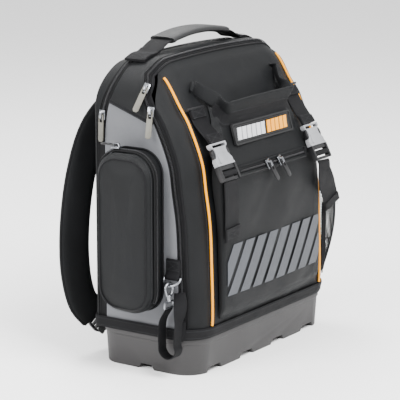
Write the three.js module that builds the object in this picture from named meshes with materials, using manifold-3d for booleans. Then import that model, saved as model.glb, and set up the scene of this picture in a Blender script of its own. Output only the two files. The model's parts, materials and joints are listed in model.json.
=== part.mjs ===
// A tool backpack that stands on its moulded base, in millimetres with +Z up.
// The front with the big pocket faces -Y, the back panel with the shoulder straps faces +Y,
// and the box-shaped side pocket is on -X. The origin is the centre of the base's underside.
import * as THREE from "three";
import { mergeVertices } from "three/addons/utils/BufferGeometryUtils.js";
import Module from "manifold-3d";

const wasm = await Module();
wasm.setup();

// Driving sizes of the bag's body
const halfWidth = 197;
const frontFace = -101; // the front panel's fullest point
const backFace = 95;
const baseHeight = 57;
const bodyTop = 470; // where the arch of the side panels would be level
const crown = 9; // how far the top swells above that in the middle
const archRadius = 74; // the two top corners, seen from the front
const frontRadius = 45; // the upright front corners, seen from above
const backRadius = 30; // seen from above, where the back panel turns into the sides
const topFall = 13; // how far the top drops towards the back panel
const fallStart = 10;
const leanDepth = 97; // how far the front leans back on its way up
const pipingInset = 39;
const pipingX = halfWidth - pipingInset;
const pipingRadius = 2.1;
const clothWall = 3;
const clear = 0.3; // the gap between pieces that touch

// Driving sizes of the base, zips and webbing
const baseWall = 3.5;
const baseFloor = 4;
const baseFront = -97;
const baseBack = 91;
const baseTaper = 5;
const baseLedge = 2;
const baseLedgeHeight = 7;
const baseBackRadius = 40;
const sideTreadWidth = 20;
const treadDepth = 8;
const treadWidth = 30;
const treadPitch = 91;
const treadReach = 14;
const bindingHeight = 18;
const bindingWall = 2.4;
const bindingSlack = 0.5; // the cloth inside the binding isn't pressed flat
const zipWidth = 14;
const zipWall = 2.2;
const zipSeam = 1.1; // beside a zip, at the outside of a seam between curved walls
const zipSetback = 21; // from the front face back to the main zip
const zipInset = 7; // how far the rounded corner has fallen in at that zip
const rearZipLow = 68;
const rearZipHigh = 52;
const rearZipStart = 390;
const strapWide = 38;
const strapNarrow = 25;
const strapThick = 1.8;

// Driving sizes of the pockets
const pocketBottom = 86;
const pocketTop = 390; // top of the front pocket's front wall, below its binding
const pocketToPiping = 16;
const pocketHalf = pipingX - pocketToPiping;
const pocketDepth = 11; // how far the front pocket stands in front of the front face
const pocketLift = 35; // how much higher the mouth's two ends are than its front
const pocketSwell = 3;
const pocketWall = 2.5;
const pocketSeam = 2.8; // the stitched edge's outer corner stands this far off the panel behind it
const rimHeight = 22;
const rimWall = 5;
const rimGap = 0; // the rim's lower edge is level with the wall's top, just in front of it
const rimSeam = 5;
const welt = { z: 305, half: 97, height: 12, wall: 3 };
const badge = { x: 2, z: 356, width: 166, height: 33, wall: 3, seat: 0.9 };
const sidePocket = {
  back: 60, front: -38, bottom: 98, top: 344,
  depth: 48, lean: -8, corner: 36, wall: 3, seam: 0.9,
};
const sideZip = { width: 12, wall: 2 };
const bottle = { bottom: 92, height: 116, reach: 100, start: 20, bulge: 38, wall: 1.6, bar: 2.6, gaps: 9 };
const bottleHem = { height: 13, wall: 2.6 };

// Driving sizes of the straps, the handle and the hardware
const handle = { y: 45, footHalf: 150, footLength: 34, rise: 21, gripHalf: 78, gripWall: 4 };
const shoulder = { width: 50, thick: 12, reach: 48, web: 25 };
const adjuster = { width: 34, length: 28, thick: 5 };
const buckle = { lean: 0.47, width: 46, upper: 36, lower: 24, thick: 9, gap: 0.8 };
const buckleSeats = {
  left: { x: 10 - pocketHalf, y: -107, z: 321 },
  right: { x: pocketHalf - 14, y: -112.5, z: 311 },
};
const strapTopX = pocketHalf - 9;
const tailLength = 92;
const ringTab = { y: -59.5, top: 183, bend: 155, layer: 1.8 };
const dRing = { half: 14.5, drop: 15, tilt: 0.8, wire: 1.9 };
const hook = {
  radius: 10, wire: 2.2, barrelRadius: 4, barrel: 10,
  eyeHalf: 11, eyeHeight: 9, gateFrom: 240, gateTo: 150,
};
const tether = { width: 20, front: -77, rear: -47, low: 33 };
const puller = { tab: 29, width: 9, link: 12, wire: 0.95 };
const slider = { length: 15, width: 10, plate: 3, bridge: 5.5, bridgeWidth: 4, bar: 1.5 };
const strapBar = { z: 403, width: 44, radius: 2 };

// Colours, roughness and metalness
const finish = (color, roughness, metalness = 0) =>
  new THREE.MeshStandardMaterial({ color, roughness, metalness });
const finishes = {
  nylon: finish(0x2e2f31, 0.85),
  panel: finish(0x8f9093, 0.8),
  webbing: finish(0x1c1c1e, 0.9),
  base: finish(0x636163, 0.6),
  zip: finish(0x1a1a1b, 0.7),
  piping: finish(0xf0a92c, 0.55),
  net: finish(0x141415, 0.9),
  pad: finish(0x242527, 0.95),
  plastic: finish(0x17181a, 0.5),
  silver: finish(0xd9dadc, 0.45),
  greige: finish(0xb9b8b0, 0.6),
  steel: finish(0x8b8d90, 0.3, 1),
  rubber: finish(0x18181a, 0.6),
};

const bag = new THREE.Group();

// Surfaces: points and triangles, before they become a closed body

const v3 = (x, y, z) => new THREE.Vector3(x, y, z);
const mix = (a, b, t) => a + (b - a) * t;
const mixed = (a, b, t) => a.clone().lerp(b, t);

// A surface through rows of points. It may close on itself along each row, and may leave cells out.
function grid(rows, { loop = false, skip = () => false } = {}) {
  const points = rows.flat();
  const count = rows[0].length;
  const faces = [];
  for (let i = 0; i + 1 < rows.length; i += 1) {
    for (let j = 0; j + (loop ? 0 : 1) < count; j += 1) {
      if (skip(i, j)) continue;
      const k = (j + 1) % count;
      const [a, b, c, d] = [i * count + j, i * count + k, (i + 1) * count + k, (i + 1) * count + j];
      faces.push([a, b, c], [a, c, d]);
    }
  }
  return { points, faces, count, rows: rows.length };
}

// Closes the last row of a surface: a fan when the row is a ring, and rungs when it is an arch.
function closeLast(surface, asRungs = false) {
  const start = (surface.rows - 1) * surface.count;
  const n = surface.count;
  if (asRungs) {
    for (let j = 0; j < Math.floor(n / 2); j += 1) {
      const [a, b, c, d] = [start + j, start + j + 1, start + n - 2 - j, start + n - 1 - j];
      if (b === c) surface.faces.push([a, b, d]);
      else if (b < c) surface.faces.push([a, b, c], [a, c, d]);
    }
    return surface;
  }
  const centre = v3(0, 0, 0);
  for (let j = 0; j < n; j += 1) centre.addScaledVector(surface.points[start + j], 1 / n);
  surface.points.push(centre);
  const tip = surface.points.length - 1;
  for (let j = 0; j < n; j += 1) surface.faces.push([start + j, start + ((j + 1) % n), tip]);
  return surface;
}

function pointNormals({ points, faces }) {
  const normals = points.map(() => v3(0, 0, 0));
  for (const [a, b, c] of faces) {
    const n = points[b].clone().sub(points[a]).cross(points[c].clone().sub(points[a]));
    for (const k of [a, b, c]) normals[k].add(n);
  }
  return normals.map((n) => n.normalize());
}

// Gives an open surface a thickness on the side where a place inside it lies, and closes every edge.
function thicken(surface, thickness, inside) {
  const { points, faces } = surface;
  const normals = pointNormals(surface);
  const facing = inside ? points.reduce((sum, p, i) => sum + p.clone().sub(inside).dot(normals[i]), 0) : 1;
  const depth = facing < 0 ? thickness : -thickness;
  const inner = points.map((p, i) => p.clone().addScaledVector(normals[i], depth));
  const n = points.length;
  const all = [...faces, ...faces.map(([a, b, c]) => [a + n, c + n, b + n])];
  const edges = new Set();
  for (const [a, b, c] of faces) for (const e of [[a, b], [b, c], [c, a]]) edges.add(e.join());
  for (const edge of edges) {
    const [a, b] = edge.split(",").map(Number);
    if (!edges.has([b, a].join())) all.push([b, a, a + n], [b, a + n, b + n]);
  }
  return { points: [...points, ...inner], faces: all };
}

// A solid through rings of points: its ends are closed, or the last ring meets the first.
function loft(rings, closed = false) {
  const surface = grid(closed ? [...rings, rings[0]] : rings, { loop: true });
  if (closed) return surface;
  const n = surface.count;
  const last = (rings.length - 1) * n;
  for (let j = 1; j + 1 < n; j += 1) {
    surface.faces.push([0, j + 1, j], [last, last + j, last + j + 1]);
  }
  return surface;
}

// A solid with round section along a path, each point moved out by a wire's radius.
function wire(path, radius, { closed = false, sides = 8 } = {}) {
  const rings = path.map((p, i) => {
    const before = path[i === 0 ? (closed ? path.length - 1 : 0) : i - 1];
    const after = path[i === path.length - 1 ? (closed ? 0 : i) : i + 1];
    const ahead = after.clone().sub(before).normalize();
    const side = v3(0, 0, 1).cross(ahead).length() > 0.05 ? v3(0, 0, 1) : v3(1, 0, 0);
    const u = side.clone().cross(ahead).normalize();
    const w = ahead.clone().cross(u);
    return Array.from({ length: sides }, (_, k) => {
      const t = (k / sides) * Math.PI * 2;
      return p.clone().addScaledVector(u, Math.cos(t) * radius).addScaledVector(w, Math.sin(t) * radius);
    });
  });
  return loft(rings, closed);
}

function toGeometry({ points, faces }) {
  let volume = 0;
  for (const [a, b, c] of faces) volume += points[a].dot(points[b].clone().cross(points[c]));
  const geometry = new THREE.BufferGeometry();
  geometry.setAttribute(
    "position",
    new THREE.Float32BufferAttribute(points.flatMap((p) => [p.x, p.y, p.z]), 3),
  );
  geometry.setIndex((volume < 0 ? faces.map(([a, b, c]) => [a, c, b]) : faces).flat());
  return mergeVertices(geometry, 1e-4);
}

function toSolid(shape) {
  const geometry = shape.isBufferGeometry ? shape.clone() : toGeometry(shape);
  for (const name of ["normal", "uv"]) geometry.deleteAttribute(name);
  const merged = mergeVertices(geometry, 1e-4);
  const mesh = { numProp: 3, vertProperties: merged.attributes.position.array };
  return new wasm.Manifold(new wasm.Mesh({ ...mesh, triVerts: new Uint32Array(merged.index.array) }));
}

function fromSolid(solid) {
  const mesh = solid.getMesh();
  const geometry = new THREE.BufferGeometry();
  geometry.setAttribute("position", new THREE.BufferAttribute(new Float32Array(mesh.vertProperties), 3));
  geometry.setIndex(new THREE.BufferAttribute(new Uint32Array(mesh.triVerts), 1));
  return geometry;
}

const cut = (shape, ...tools) => fromSolid(tools.reduce((s, t) => s.subtract(toSolid(t)), toSolid(shape)));
const join = (...shapes) => fromSolid(shapes.map(toSolid).reduce((a, b) => a.add(b)));

function addPiece(name, shape, material, parent = bag) {
  const geometry = shape.isBufferGeometry ? shape : toGeometry(shape);
  const mesh = new THREE.Mesh(geometry, finishes[material]);
  mesh.name = name;
  parent.add(mesh);
  return mesh;
}

// The bag's outline and surfaces

// How the front leans back: up and lean are shares of the panel's height and of leanDepth.
const frontLean = [
  { up: 0, lean: 0.05 },
  { up: 0.065, lean: 0 },
  { up: 0.3, lean: 0.02 },
  { up: 0.446, lean: 0.05 },
  { up: 0.566, lean: 0.124 },
  { up: 0.674, lean: 0.196 },
  { up: 0.81, lean: 0.433 },
  { up: 0.88, lean: 0.62 },
  { up: 0.965, lean: 0.845 },
  { up: 1, lean: 1 },
];

// Reads a table between its rows with a smooth curve.
function smoothRead(table, key, value, at) {
  const last = table.length - 1;
  if (at <= table[0][key]) return table[0][value];
  if (at >= table[last][key]) return table[last][value];
  const slope = (i) => {
    const [a, b] = [table[Math.max(i - 1, 0)], table[Math.min(i + 1, last)]];
    return (b[value] - a[value]) / (b[key] - a[key]);
  };
  const i = table.findIndex((row) => row[key] > at) - 1;
  const [p, q] = [table[i], table[i + 1]];
  const span = q[key] - p[key];
  const t = (at - p[key]) / span;
  const [t2, t3] = [t * t, t * t * t];
  return (
    p[value] * (2 * t3 - 3 * t2 + 1) +
    q[value] * (3 * t2 - 2 * t3) +
    span * slope(i) * (t3 - 2 * t2 + t) +
    span * slope(i + 1) * (t3 - t2)
  );
}

const swell = (x, z) => {
  const rise = THREE.MathUtils.clamp((z - (bodyTop - archRadius)) / archRadius, 0, 1);
  return crown * rise * (1 - (x / halfWidth) ** 2);
};

// How far the top has dropped at a place towards the back.
function fall(y, z) {
  const rise = THREE.MathUtils.smoothstep(z, bodyTop - archRadius, bodyTop);
  const share = THREE.MathUtils.clamp((y - fallStart) / (backFace - fallStart), 0, 1);
  return topFall * rise * share ** 1.5;
}

const bagMiddle = v3(0, 0, bodyTop / 2);

// The arch of the body seen from the front, from the left foot over the top to the right foot,
// drawn in by an inset. Each point also knows which way is out.
function arch(inset, foot = baseHeight + clear, { sides = 6, corner = 5, top = 6 } = {}) {
  const half = halfWidth - inset;
  const high = bodyTop - inset;
  const radius = archRadius - inset;
  const left = [];
  for (let i = 0; i < sides; i += 1) left.push([-half, mix(foot, high - radius, i / sides)]);
  for (let i = 0; i < corner; i += 1) {
    const t = (i / corner) * (Math.PI / 2);
    left.push([-half + radius * (1 - Math.cos(t)), high - radius + radius * Math.sin(t)]);
  }
  const level = half - radius;
  const over = [];
  for (let i = 0; i <= top; i += 1) over.push([mix(-level, level, i / top), high]);
  const right = left.map(([x, z]) => [-x, z]).reverse();
  return [...left, ...over, ...right].map(([x, z]) => ({ x, z: z + swell(x, z) }));
}

// Height of the arch's top above a place across the bag.
function archHeight(x, inset) {
  const radius = archRadius - inset;
  const over = Math.max(0, Math.abs(x) - (halfWidth - archRadius));
  const z = bodyTop - inset - radius + Math.sqrt(Math.max(0, radius ** 2 - over ** 2));
  return z + swell(x, z);
}

// The front panel's outside at a place across and up.
function frontY(x, z) {
  const over = THREE.MathUtils.clamp(Math.abs(x) - (halfWidth - frontRadius), 0, frontRadius - zipInset);
  const drop = frontRadius - Math.sqrt(frontRadius ** 2 - over ** 2);
  const top = archHeight(Math.min(Math.abs(x), pipingX), zipInset);
  const up = (z - baseHeight) / (top - baseHeight);
  return frontFace + smoothRead(frontLean, "up", "lean", up) * leanDepth + drop;
}

// Where the rear zip runs around the arch, measured at its front edge.
const rearZipY = ({ z }) => {
  const rise = THREE.MathUtils.smoothstep(z, rearZipStart - 40, bodyTop);
  return mix(rearZipLow, rearZipHigh, rise);
};

// A row of points around the arch, set in by an inset, with y from a rule.
const archRow = (inset, rule) =>
  arch(inset).map((p) => {
    const y = rule(p);
    return v3(p.x, y, p.z - fall(y, p.z));
  });

// How far the body's corner has fallen in at a distance behind the main zip.
function cornerInset(behind) {
  const left = Math.max(0, frontRadius - zipSetback - behind);
  return frontRadius - Math.sqrt(frontRadius ** 2 - left ** 2);
}

function makeFrontPanel() {
  const rowsUp = 18;
  const uprights = 6; // points of the arch on each straight side, which the panel's edge columns replace
  const columns = arch(zipInset, undefined, { sides: uprights });
  const inner = columns.slice(uprights, -uprights);
  const columnPoints = (x, top) => {
    const foot = baseHeight + clear;
    return Array.from({ length: rowsUp + 1 }, (_, i) => {
      const z = mix(foot, top, Math.sin(((i / rowsUp) * Math.PI) / 2) ** 0.85);
      return v3(x, frontY(x, z), z);
    });
  };
  const shape = grid(inner.map((p) => columnPoints(p.x, p.z)));
  addPiece("front_panel", thicken(shape, clothWall, bagMiddle), "nylon");
}

// A band around the arch between two rules for y, with the corner's rounding behind the main zip.
function archBand(from, to, steps, { wall, zipFront = null, foot }) {
  const rows = [];
  for (let i = 0; i <= steps; i += 1) {
    const t = i / steps;
    const start = arch(0, foot);
    const row = start.map((p, j) => {
      const y = mix(from(p), to(p), t);
      const inset = zipFront ? cornerInset(Math.max(0, y - zipFront(p))) : 0;
      const q = arch(inset, foot)[j];
      return v3(q.x, y, q.z - fall(y, q.z));
    });
    rows.push(row);
  }
  return thicken(grid(rows), wall, bagMiddle);
}

const zipReach = halfWidth - zipInset;
const inZip = ({ x, z }) => frontY(THREE.MathUtils.clamp(x, -zipReach, zipReach), z);

function makeBodyBands() {
  const gussetFront = (p) => inZip(p) + zipWidth;
  const gussetBack = (p) => rearZipY(p) - clear;
  const zipBand = { wall: zipWall, zipFront: inZip };
  const zipStart = (p) => inZip(p) + clothWall + clear;
  addPiece("main_zip", archBand(zipStart, (p) => gussetFront(p) - zipSeam, 2, zipBand), "zip");
  const gusset = { wall: clothWall, zipFront: inZip };
  addPiece("main_gusset", archBand(gussetFront, gussetBack, 4, gusset), "panel");
  const rearBand = { wall: zipWall };
  const rearEnd = (p) => rearZipY(p) + zipWidth - zipSeam;
  addPiece("rear_zip", archBand((p) => rearZipY(p) + clear, rearEnd, 1, rearBand), "zip");
}

function makeBackPanel() {
  const rim = (p) => rearZipY(p) + zipWidth;
  const rounded = (p) => Math.max(rim(p), rearZipLow + zipWidth) + 1;
  const rows = [archRow(0, rim)];
  for (const share of [0, 0.35, 0.7, 1]) {
    const t = (share * Math.PI) / 2;
    const inset = backRadius * (1 - Math.cos(t));
    const outline = arch(0);
    const turned = arch(inset).map((p, j) => {
      const y = mix(rounded(outline[j]), backFace, Math.sin(t));
      return v3(p.x, y, p.z - fall(y, outline[j].z));
    });
    rows.push(turned);
  }
  const shape = closeLast(grid(rows), true);
  addPiece("back_panel", thicken(shape, clothWall, bagMiddle), "nylon");
}

// The moulded base and the binding that covers its seam

// A rounded rectangle seen from above, at a height. Its back corners may be flatter than they are wide.
function planRing(z, { half, front, back, cornerFront, cornerBack, backDepth = cornerBack }) {
  const corners = [
    { x: half - cornerFront, y: front + cornerFront, wide: cornerFront, deep: cornerFront, from: -90 },
    { x: half - cornerBack, y: back - backDepth, wide: cornerBack, deep: backDepth, from: 0 },
    { x: cornerBack - half, y: back - backDepth, wide: cornerBack, deep: backDepth, from: 90 },
    { x: cornerFront - half, y: front + cornerFront, wide: cornerFront, deep: cornerFront, from: 180 },
  ];
  const steps = 7;
  return corners.flatMap(({ x, y, wide, deep, from }) =>
    Array.from({ length: steps + 1 }, (_, i) => {
      const t = THREE.MathUtils.degToRad(from + (90 * i) / steps);
      return v3(x + wide * Math.cos(t), y + deep * Math.sin(t), z);
    }),
  );
}

const baseRing = (z, inset) =>
  planRing(z, {
    half: halfWidth - inset,
    front: baseFront + inset,
    back: baseBack - inset,
    cornerFront: frontRadius - inset,
    cornerBack: baseBackRadius - inset,
  });

// A block with sloping sides that cuts one notch into the base's lower edge.
function treadTool(width) {
  const shape = new THREE.Shape();
  const flare = treadDepth * 0.6;
  shape.moveTo(-width / 2 - flare, -1);
  shape.lineTo(width / 2 + flare, -1);
  shape.lineTo(width / 2, treadDepth);
  shape.lineTo(-width / 2, treadDepth);
  const tool = new THREE.ExtrudeGeometry(shape, { depth: treadReach * 2, bevelEnabled: false });
  return tool.rotateX(Math.PI / 2).translate(0, treadReach, 0);
}

function makeBase() {
  const shoulderZ = baseHeight - baseLedgeHeight;
  const outer = loft([
    baseRing(0, baseTaper),
    baseRing(shoulderZ - baseLedge, baseLedge),
    baseRing(shoulderZ, 0),
    baseRing(baseHeight, 0),
  ]);
  const cavityInset = baseLedge + baseTaper + baseWall;
  const hollow = loft([baseRing(treadDepth + baseFloor, cavityInset), baseRing(baseHeight + 1, cavityInset)]);
  const notches = [-1.5, -0.5, 0.5, 1.5].flatMap((place) => [
    treadTool(treadWidth).translate(place * treadPitch, baseFront + baseTaper, 0),
    treadTool(treadWidth).translate(place * treadPitch, baseBack - baseTaper, 0),
  ]);
  for (const side of [-1, 1]) {
    const sideNotch = treadTool(sideTreadWidth).rotateZ(Math.PI / 2);
    notches.push(sideNotch.translate(side * (halfWidth - baseTaper), (baseFront + baseBack) / 2, 0));
  }
  addPiece("base_tub", cut(outer, hollow, ...notches), "base");

  const bindingRing = (z, out) =>
    planRing(z, {
      half: halfWidth + out,
      front: frontY(0, z) - out - bindingSlack,
      back: backFace + out,
      cornerFront: frontRadius + out,
      cornerBack: backRadius + out,
      backDepth: backFace - rearZipLow - zipWidth - 1 + out,
    });
  const levels = [baseHeight + clear, baseHeight + bindingHeight / 2, baseHeight + bindingHeight];
  const binding = loft(
    [
      ...levels.map((z) => bindingRing(z, clear + bindingSlack + bindingWall)),
      ...levels.reverse().map((z) => bindingRing(z, clear + bindingSlack)),
    ],
    true,
  );
  addPiece("base_binding", binding, "webbing");
}

function makePiping() {
  for (const [name, side] of [["piping_left", -1], ["piping_right", 1]]) {
    const x = side * pipingX;
    const foot = baseHeight + bindingHeight + pipingRadius;
    const head = archHeight(x, zipInset) - pipingRadius * 7;
    const steps = 20;
    const path = Array.from({ length: steps + 1 }, (_, i) => {
      const z = mix(foot, head, (i / steps) ** 0.8);
      const ahead = v3(0, frontY(x, z + 1) - frontY(x, z - 1), 2).normalize();
      return v3(x, frontY(x, z), z).addScaledVector(v3(0, -ahead.z, ahead.y), pipingRadius + clear * 2.5);
    });
    addPiece(name, wire(path, pipingRadius, { sides: 6 }), "piping");
  }
}

// The front pocket: it is sewn to the panel at its sides and floor, and its mouth stands open.
// up is a share of the pocket's height, half of pocketHalf, behind of leanDepth,
// root is where its side meets the panel, and lift how much higher that end is than the front.
const pocketForm = [
  { up: 0, half: 0.985, behind: 0.07, root: 0.99, lift: 0 },
  { up: 0.05, half: 1, behind: 0, root: 1, lift: 0 },
  { up: 0.38, half: 1, behind: 0, root: 1, lift: 0 },
  { up: 0.7, half: 0.96, behind: 0.05, root: 1, lift: 0.06 },
  { up: 0.8, half: 0.86, behind: 0.19, root: 0.93, lift: 0.15 },
  { up: 0.87, half: 0.79, behind: 0.275, root: 0.83, lift: 0.35 },
  { up: 0.92, half: 0.72, behind: 0.315, root: 0.75, lift: 0.6 },
  { up: 0.97, half: 0.65, behind: 0.33, root: 0.73, lift: 0.85 },
  { up: 1, half: 0.61, behind: 0.3, root: 0.8, lift: 1 },
];
const pocketFace = frontFace - pocketDepth;
const pocketUp = (z) => (z - pocketBottom) / (pocketTop - pocketBottom);
const pocketInside = v3(0, frontFace, 250);
const pocketForms = (key, z) => smoothRead(pocketForm, "up", key, pocketUp(z));

function pocketFrontY(x, z) {
  const half = pocketHalf * pocketForms("half", z);
  const across = THREE.MathUtils.clamp(Math.abs(x) / half, 0, 1);
  return pocketFace + pocketForms("behind", z) * leanDepth - pocketSwell * (1 - across ** 2);
}

// One level of the pocket's wall, from where it meets the panel on the left round to the right.
function pocketRow(z) {
  const half = pocketHalf * pocketForms("half", z);
  const rootX = pocketHalf * pocketForms("root", z);
  const rootZ = z + pocketLift * pocketForms("lift", z);
  const root = v3(-rootX, frontY(rootX, rootZ) - pocketSeam, rootZ);
  const corner = v3(-half, pocketFrontY(half, z), z);
  const front = (share) => v3(-half * share, pocketFrontY(half * share, z), z);
  const turned = mixed(mixed(root, corner, 0.9), front(0.93), 0.5).lerp(corner, 0.4);
  const left = [root, mixed(root, corner, 0.5), mixed(root, corner, 0.88), turned];
  left.push(...[0.92, 0.7, 0.46, 0.22].map(front));
  const right = left.map((p) => v3(-p.x, p.y, p.z)).reverse();
  return [...left, front(0), ...right];
}

// A surface that lies on the pocket's front, in front of it by a distance.
function onPocket(fromX, toX, lowZ, highZ, stand, columns = 6, rowCount = 2) {
  return grid(
    Array.from({ length: rowCount + 1 }, (_, i) =>
      Array.from({ length: columns + 1 }, (_, j) => {
        const [x, z] = [mix(fromX, toX, j / columns), mix(lowZ, highZ, i / rowCount)];
        return v3(x, pocketFrontY(x, z) - stand, z);
      }),
    ),
  );
}

function makeFrontPocket() {
  const levels = [0, 0.05, 0.2, 0.38, 0.55, 0.7, 0.8, 0.87, 0.92, 0.97, 1];
  const rows = levels.map((up) => pocketRow(mix(pocketBottom, pocketTop, up)));
  const floor = rows[0].map((p) => {
    const z = pocketBottom - clothWall;
    return v3(p.x, frontY(p.x, z) - pocketSeam, z);
  });
  addPiece("front_pocket", thicken(grid([floor, ...rows]), pocketWall, pocketInside), "nylon");

  const surface = grid(rows.slice(-2));
  const facing = pointNormals(surface).slice(surface.count);
  const outward = facing[Math.floor(facing.length / 2)].y < 0 ? 1 : -1;
  const [below, edge] = rows.slice(-2);
  const lifted = (height) =>
    edge.map((p, i) => {
      const up = p.clone().sub(below[i]).normalize();
      const out = p.clone().addScaledVector(up, height).addScaledVector(facing[i], outward * clear * 2);
      const behind = frontY(out.x, out.z) - rimSeam;
      return v3(out.x, Math.min(out.y, behind), out.z);
    });
  const heights = [rimGap, rimHeight / 2, rimHeight];
  addPiece("front_pocket_rim", thicken(grid(heights.map(lifted)), rimWall, pocketInside), "webbing");

  const weltLow = welt.z - welt.height / 2;
  const weltShape = onPocket(-welt.half, welt.half, weltLow, weltLow + welt.height, clear * 2 + welt.wall, 8);
  addPiece("front_zip_welt", thicken(weltShape, welt.wall, pocketInside), "zip");

  const badgeLow = badge.z - badge.height / 2;
  const [badgeLeft, badgeRight] = [badge.x - badge.width / 2, badge.x + badge.width / 2];
  const stand = badge.seat + badge.wall;
  const face = onPocket(badgeLeft, badgeRight, badgeLow, badgeLow + badge.height, stand, 6);
  addPiece("badge", thicken(face, badge.wall, pocketInside), "rubber");
}

// A flat strap along a path: across is the direction of its width, for all of it or point by point.
function ribbon(path, across, width, thick) {
  const side = (i) => {
    const ahead = path[Math.min(i + 1, path.length - 1)].clone().sub(path[Math.max(i - 1, 0)]).normalize();
    const wide = (Array.isArray(across) ? across[i] : across).clone();
    return wide.addScaledVector(ahead, -wide.dot(ahead)).normalize();
  };
  const row = (sign) => path.map((p, i) => p.clone().addScaledVector(side(i), (sign * width) / 2));
  const surface = grid([row(-1), row(1)]);
  const normals = pointNormals(surface);
  surface.points.forEach((p, i) => p.addScaledVector(normals[i], thick / 2));
  return thicken(surface, thick);
}

const curve = (points, steps) => new THREE.CatmullRomCurve3(points, false, "centripetal").getPoints(steps);

// A flat piece of plastic with an outline drawn across and up, as thick as it says, centred on its plane.
function plate(outline, thick) {
  const shape = new THREE.Shape(outline.map(([x, y]) => new THREE.Vector2(x, y)));
  return new THREE.ExtrudeGeometry(shape, { depth: thick, bevelEnabled: false }).translate(0, 0, -thick / 2);
}

const mirrored = (half) => [...half, ...half.map(([x, y]) => [-x, y]).reverse()];
const sides = [["left", -1], ["right", 1]];

// A side-release buckle's two halves lie on a plane that leans with the strap.
function makeBuckles() {
  const half = buckle.width / 2;
  const { upper, lower, thick } = buckle;
  const upperOutline = mirrored([
    [half * 0.96, clear], [half * 0.96, upper * 0.3], [half * 0.64, upper * 0.55],
    [half * 0.64, upper * 0.75], [half * 0.9, upper * 0.84], [half * 0.9, upper],
  ]);
  const lowerOutline = mirrored([[half, 0], [half, -lower + 2], [half * 0.92, -lower]]);
  for (const name of Object.keys(buckleSeats)) {
    const seat = new THREE.Group();
    seat.position.copy(buckleSeats[name]);
    seat.rotation.x = Math.PI / 2 - buckle.lean;
    bag.add(seat);
    addPiece(`buckle_upper_${name}`, plate(upperOutline, thick), "silver", seat);
    addPiece(`buckle_lower_${name}`, plate(lowerOutline, thick), "plastic", seat);
  }
}

// The straps that hold the pocket shut: down from the panel to each buckle, and on below it.
function makePocketStraps() {
  const across = v3(1, 0, 0);
  const up = v3(0, Math.sin(buckle.lean), Math.cos(buckle.lean));
  const joint = (name, along) => {
    const { x, y, z } = buckleSeats[name];
    return v3(x, y, z).addScaledVector(up, along);
  };
  for (const name of Object.keys(buckleSeats)) {
    const top = joint(name, buckle.upper + buckle.gap);
    const x = Math.sign(top.x) * strapTopX;
    const onPanel = (z) => v3(x, frontY(strapTopX - strapWide / 2, z) - strapThick / 2 - clear * 3, z);
    const [first, last] = [onPanel(strapBar.z - 22), onPanel(strapBar.z - strapBar.radius - clear * 2)];
    const straight = top.clone().addScaledVector(up, 5);
    const upper = curve([top, straight, first, last], 12);
    addPiece(`pocket_strap_${name}`, ribbon(upper, across, strapWide, strapThick), "webbing");
    const bar = onPanel(strapBar.z).add(v3(0, strapThick / 2 - strapBar.radius, 0));
    const ends = [-0.5, 0, 0.5].map((share) => bar.clone().add(v3(strapBar.width * share, 0, 0)));
    addPiece(`strap_bar_${name}`, wire(ends, strapBar.radius), "plastic");
  }
  const left = joint("left", -buckle.lower - buckle.gap);
  const hang = [v3(0, 0, 0), v3(0, -2, -tailLength * 0.4), v3(4, 1, -tailLength)].map((p) => p.add(left));
  addPiece("pocket_tail_left", ribbon(curve(hang, 8), across, strapWide, strapThick), "webbing");
  const right = joint("right", -buckle.lower - buckle.gap - clear);
  const hem = bottleAt(0.04, 1, bottleHem.wall);
  const end = v3(hem.x, hem.y - 5, bottle.bottom + bottle.height - 4);
  const straight = right.clone().addScaledVector(up, -6);
  const route = [right, straight, right.clone().add(v3(3, -2, -24))];
  route.push(mixed(right, end, 0.62).add(v3(-4, -2, 0)), end);
  const turned = Array.from({ length: 11 }, (_, i) => mixed(across, v3(1, -0.12, 0), i / 10));
  addPiece("pocket_tail_right", ribbon(curve(route, 10), turned, strapWide * 0.9, strapThick), "webbing");
}

// The box-shaped pocket on the left side: rings drawn around it in the plane of the side panel.
function sidePocketRing(depth, inset, { grow = 0 } = {}) {
  const { back, front, bottom, top, corner, lean } = sidePocket;
  const share = depth / sidePocket.depth;
  const shift = lean * share;
  const radius = Math.max(corner - inset, 6) + grow;
  const [y0, y1] = [front + inset + shift - grow, back - inset + shift * 1.2 + grow];
  const [z0, z1] = [bottom + inset + 4 * share - grow, top - inset - 3 * share + grow];
  const corners = [[y0 + radius, z0 + radius, 180], [y1 - radius, z0 + radius, 270]];
  corners.push([y1 - radius, z1 - radius, 0], [y0 + radius, z1 - radius, 90]);
  const steps = 5;
  return corners.flatMap(([y, z, from]) =>
    Array.from({ length: steps + 1 }, (_, i) => {
      const t = THREE.MathUtils.degToRad(from + (90 * i) / steps);
      return v3(-halfWidth - sidePocket.seam - depth, y + radius * Math.cos(t), z + radius * Math.sin(t));
    }),
  );
}

// How the side pocket swells and rounds over: out is a share of its depth.
const sidePocketForm = [
  { out: 0, inset: 0 },
  { out: 0.35, inset: -2 },
  { out: 0.72, inset: -1 },
  { out: 0.92, inset: 4 },
  { out: 0.98, inset: 12 },
  { out: 1, inset: 28 },
];

function makeSidePocket() {
  const rings = sidePocketForm.map(({ out, inset }) => sidePocketRing(out * sidePocket.depth, inset));
  const within = v3(-halfWidth, 10, 220);
  addPiece("side_pocket", thicken(closeLast(grid(rings, { loop: true })), sidePocket.wall, within), "nylon");
  const from = sidePocket.depth * 0.42;
  const stand = clear + sideZip.wall;
  const bandAt = (depth) => {
    const ring = sidePocketRing(depth, -1.8, { grow: stand });
    return [...ring.slice(12), ...ring.slice(0, 4)];
  };
  const band = grid([0, 0.5, 1].map((t) => bandAt(from + sideZip.width * t)));
  addPiece("side_pocket_zip", thicken(band, sideZip.wall, within), "zip");
}

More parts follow.
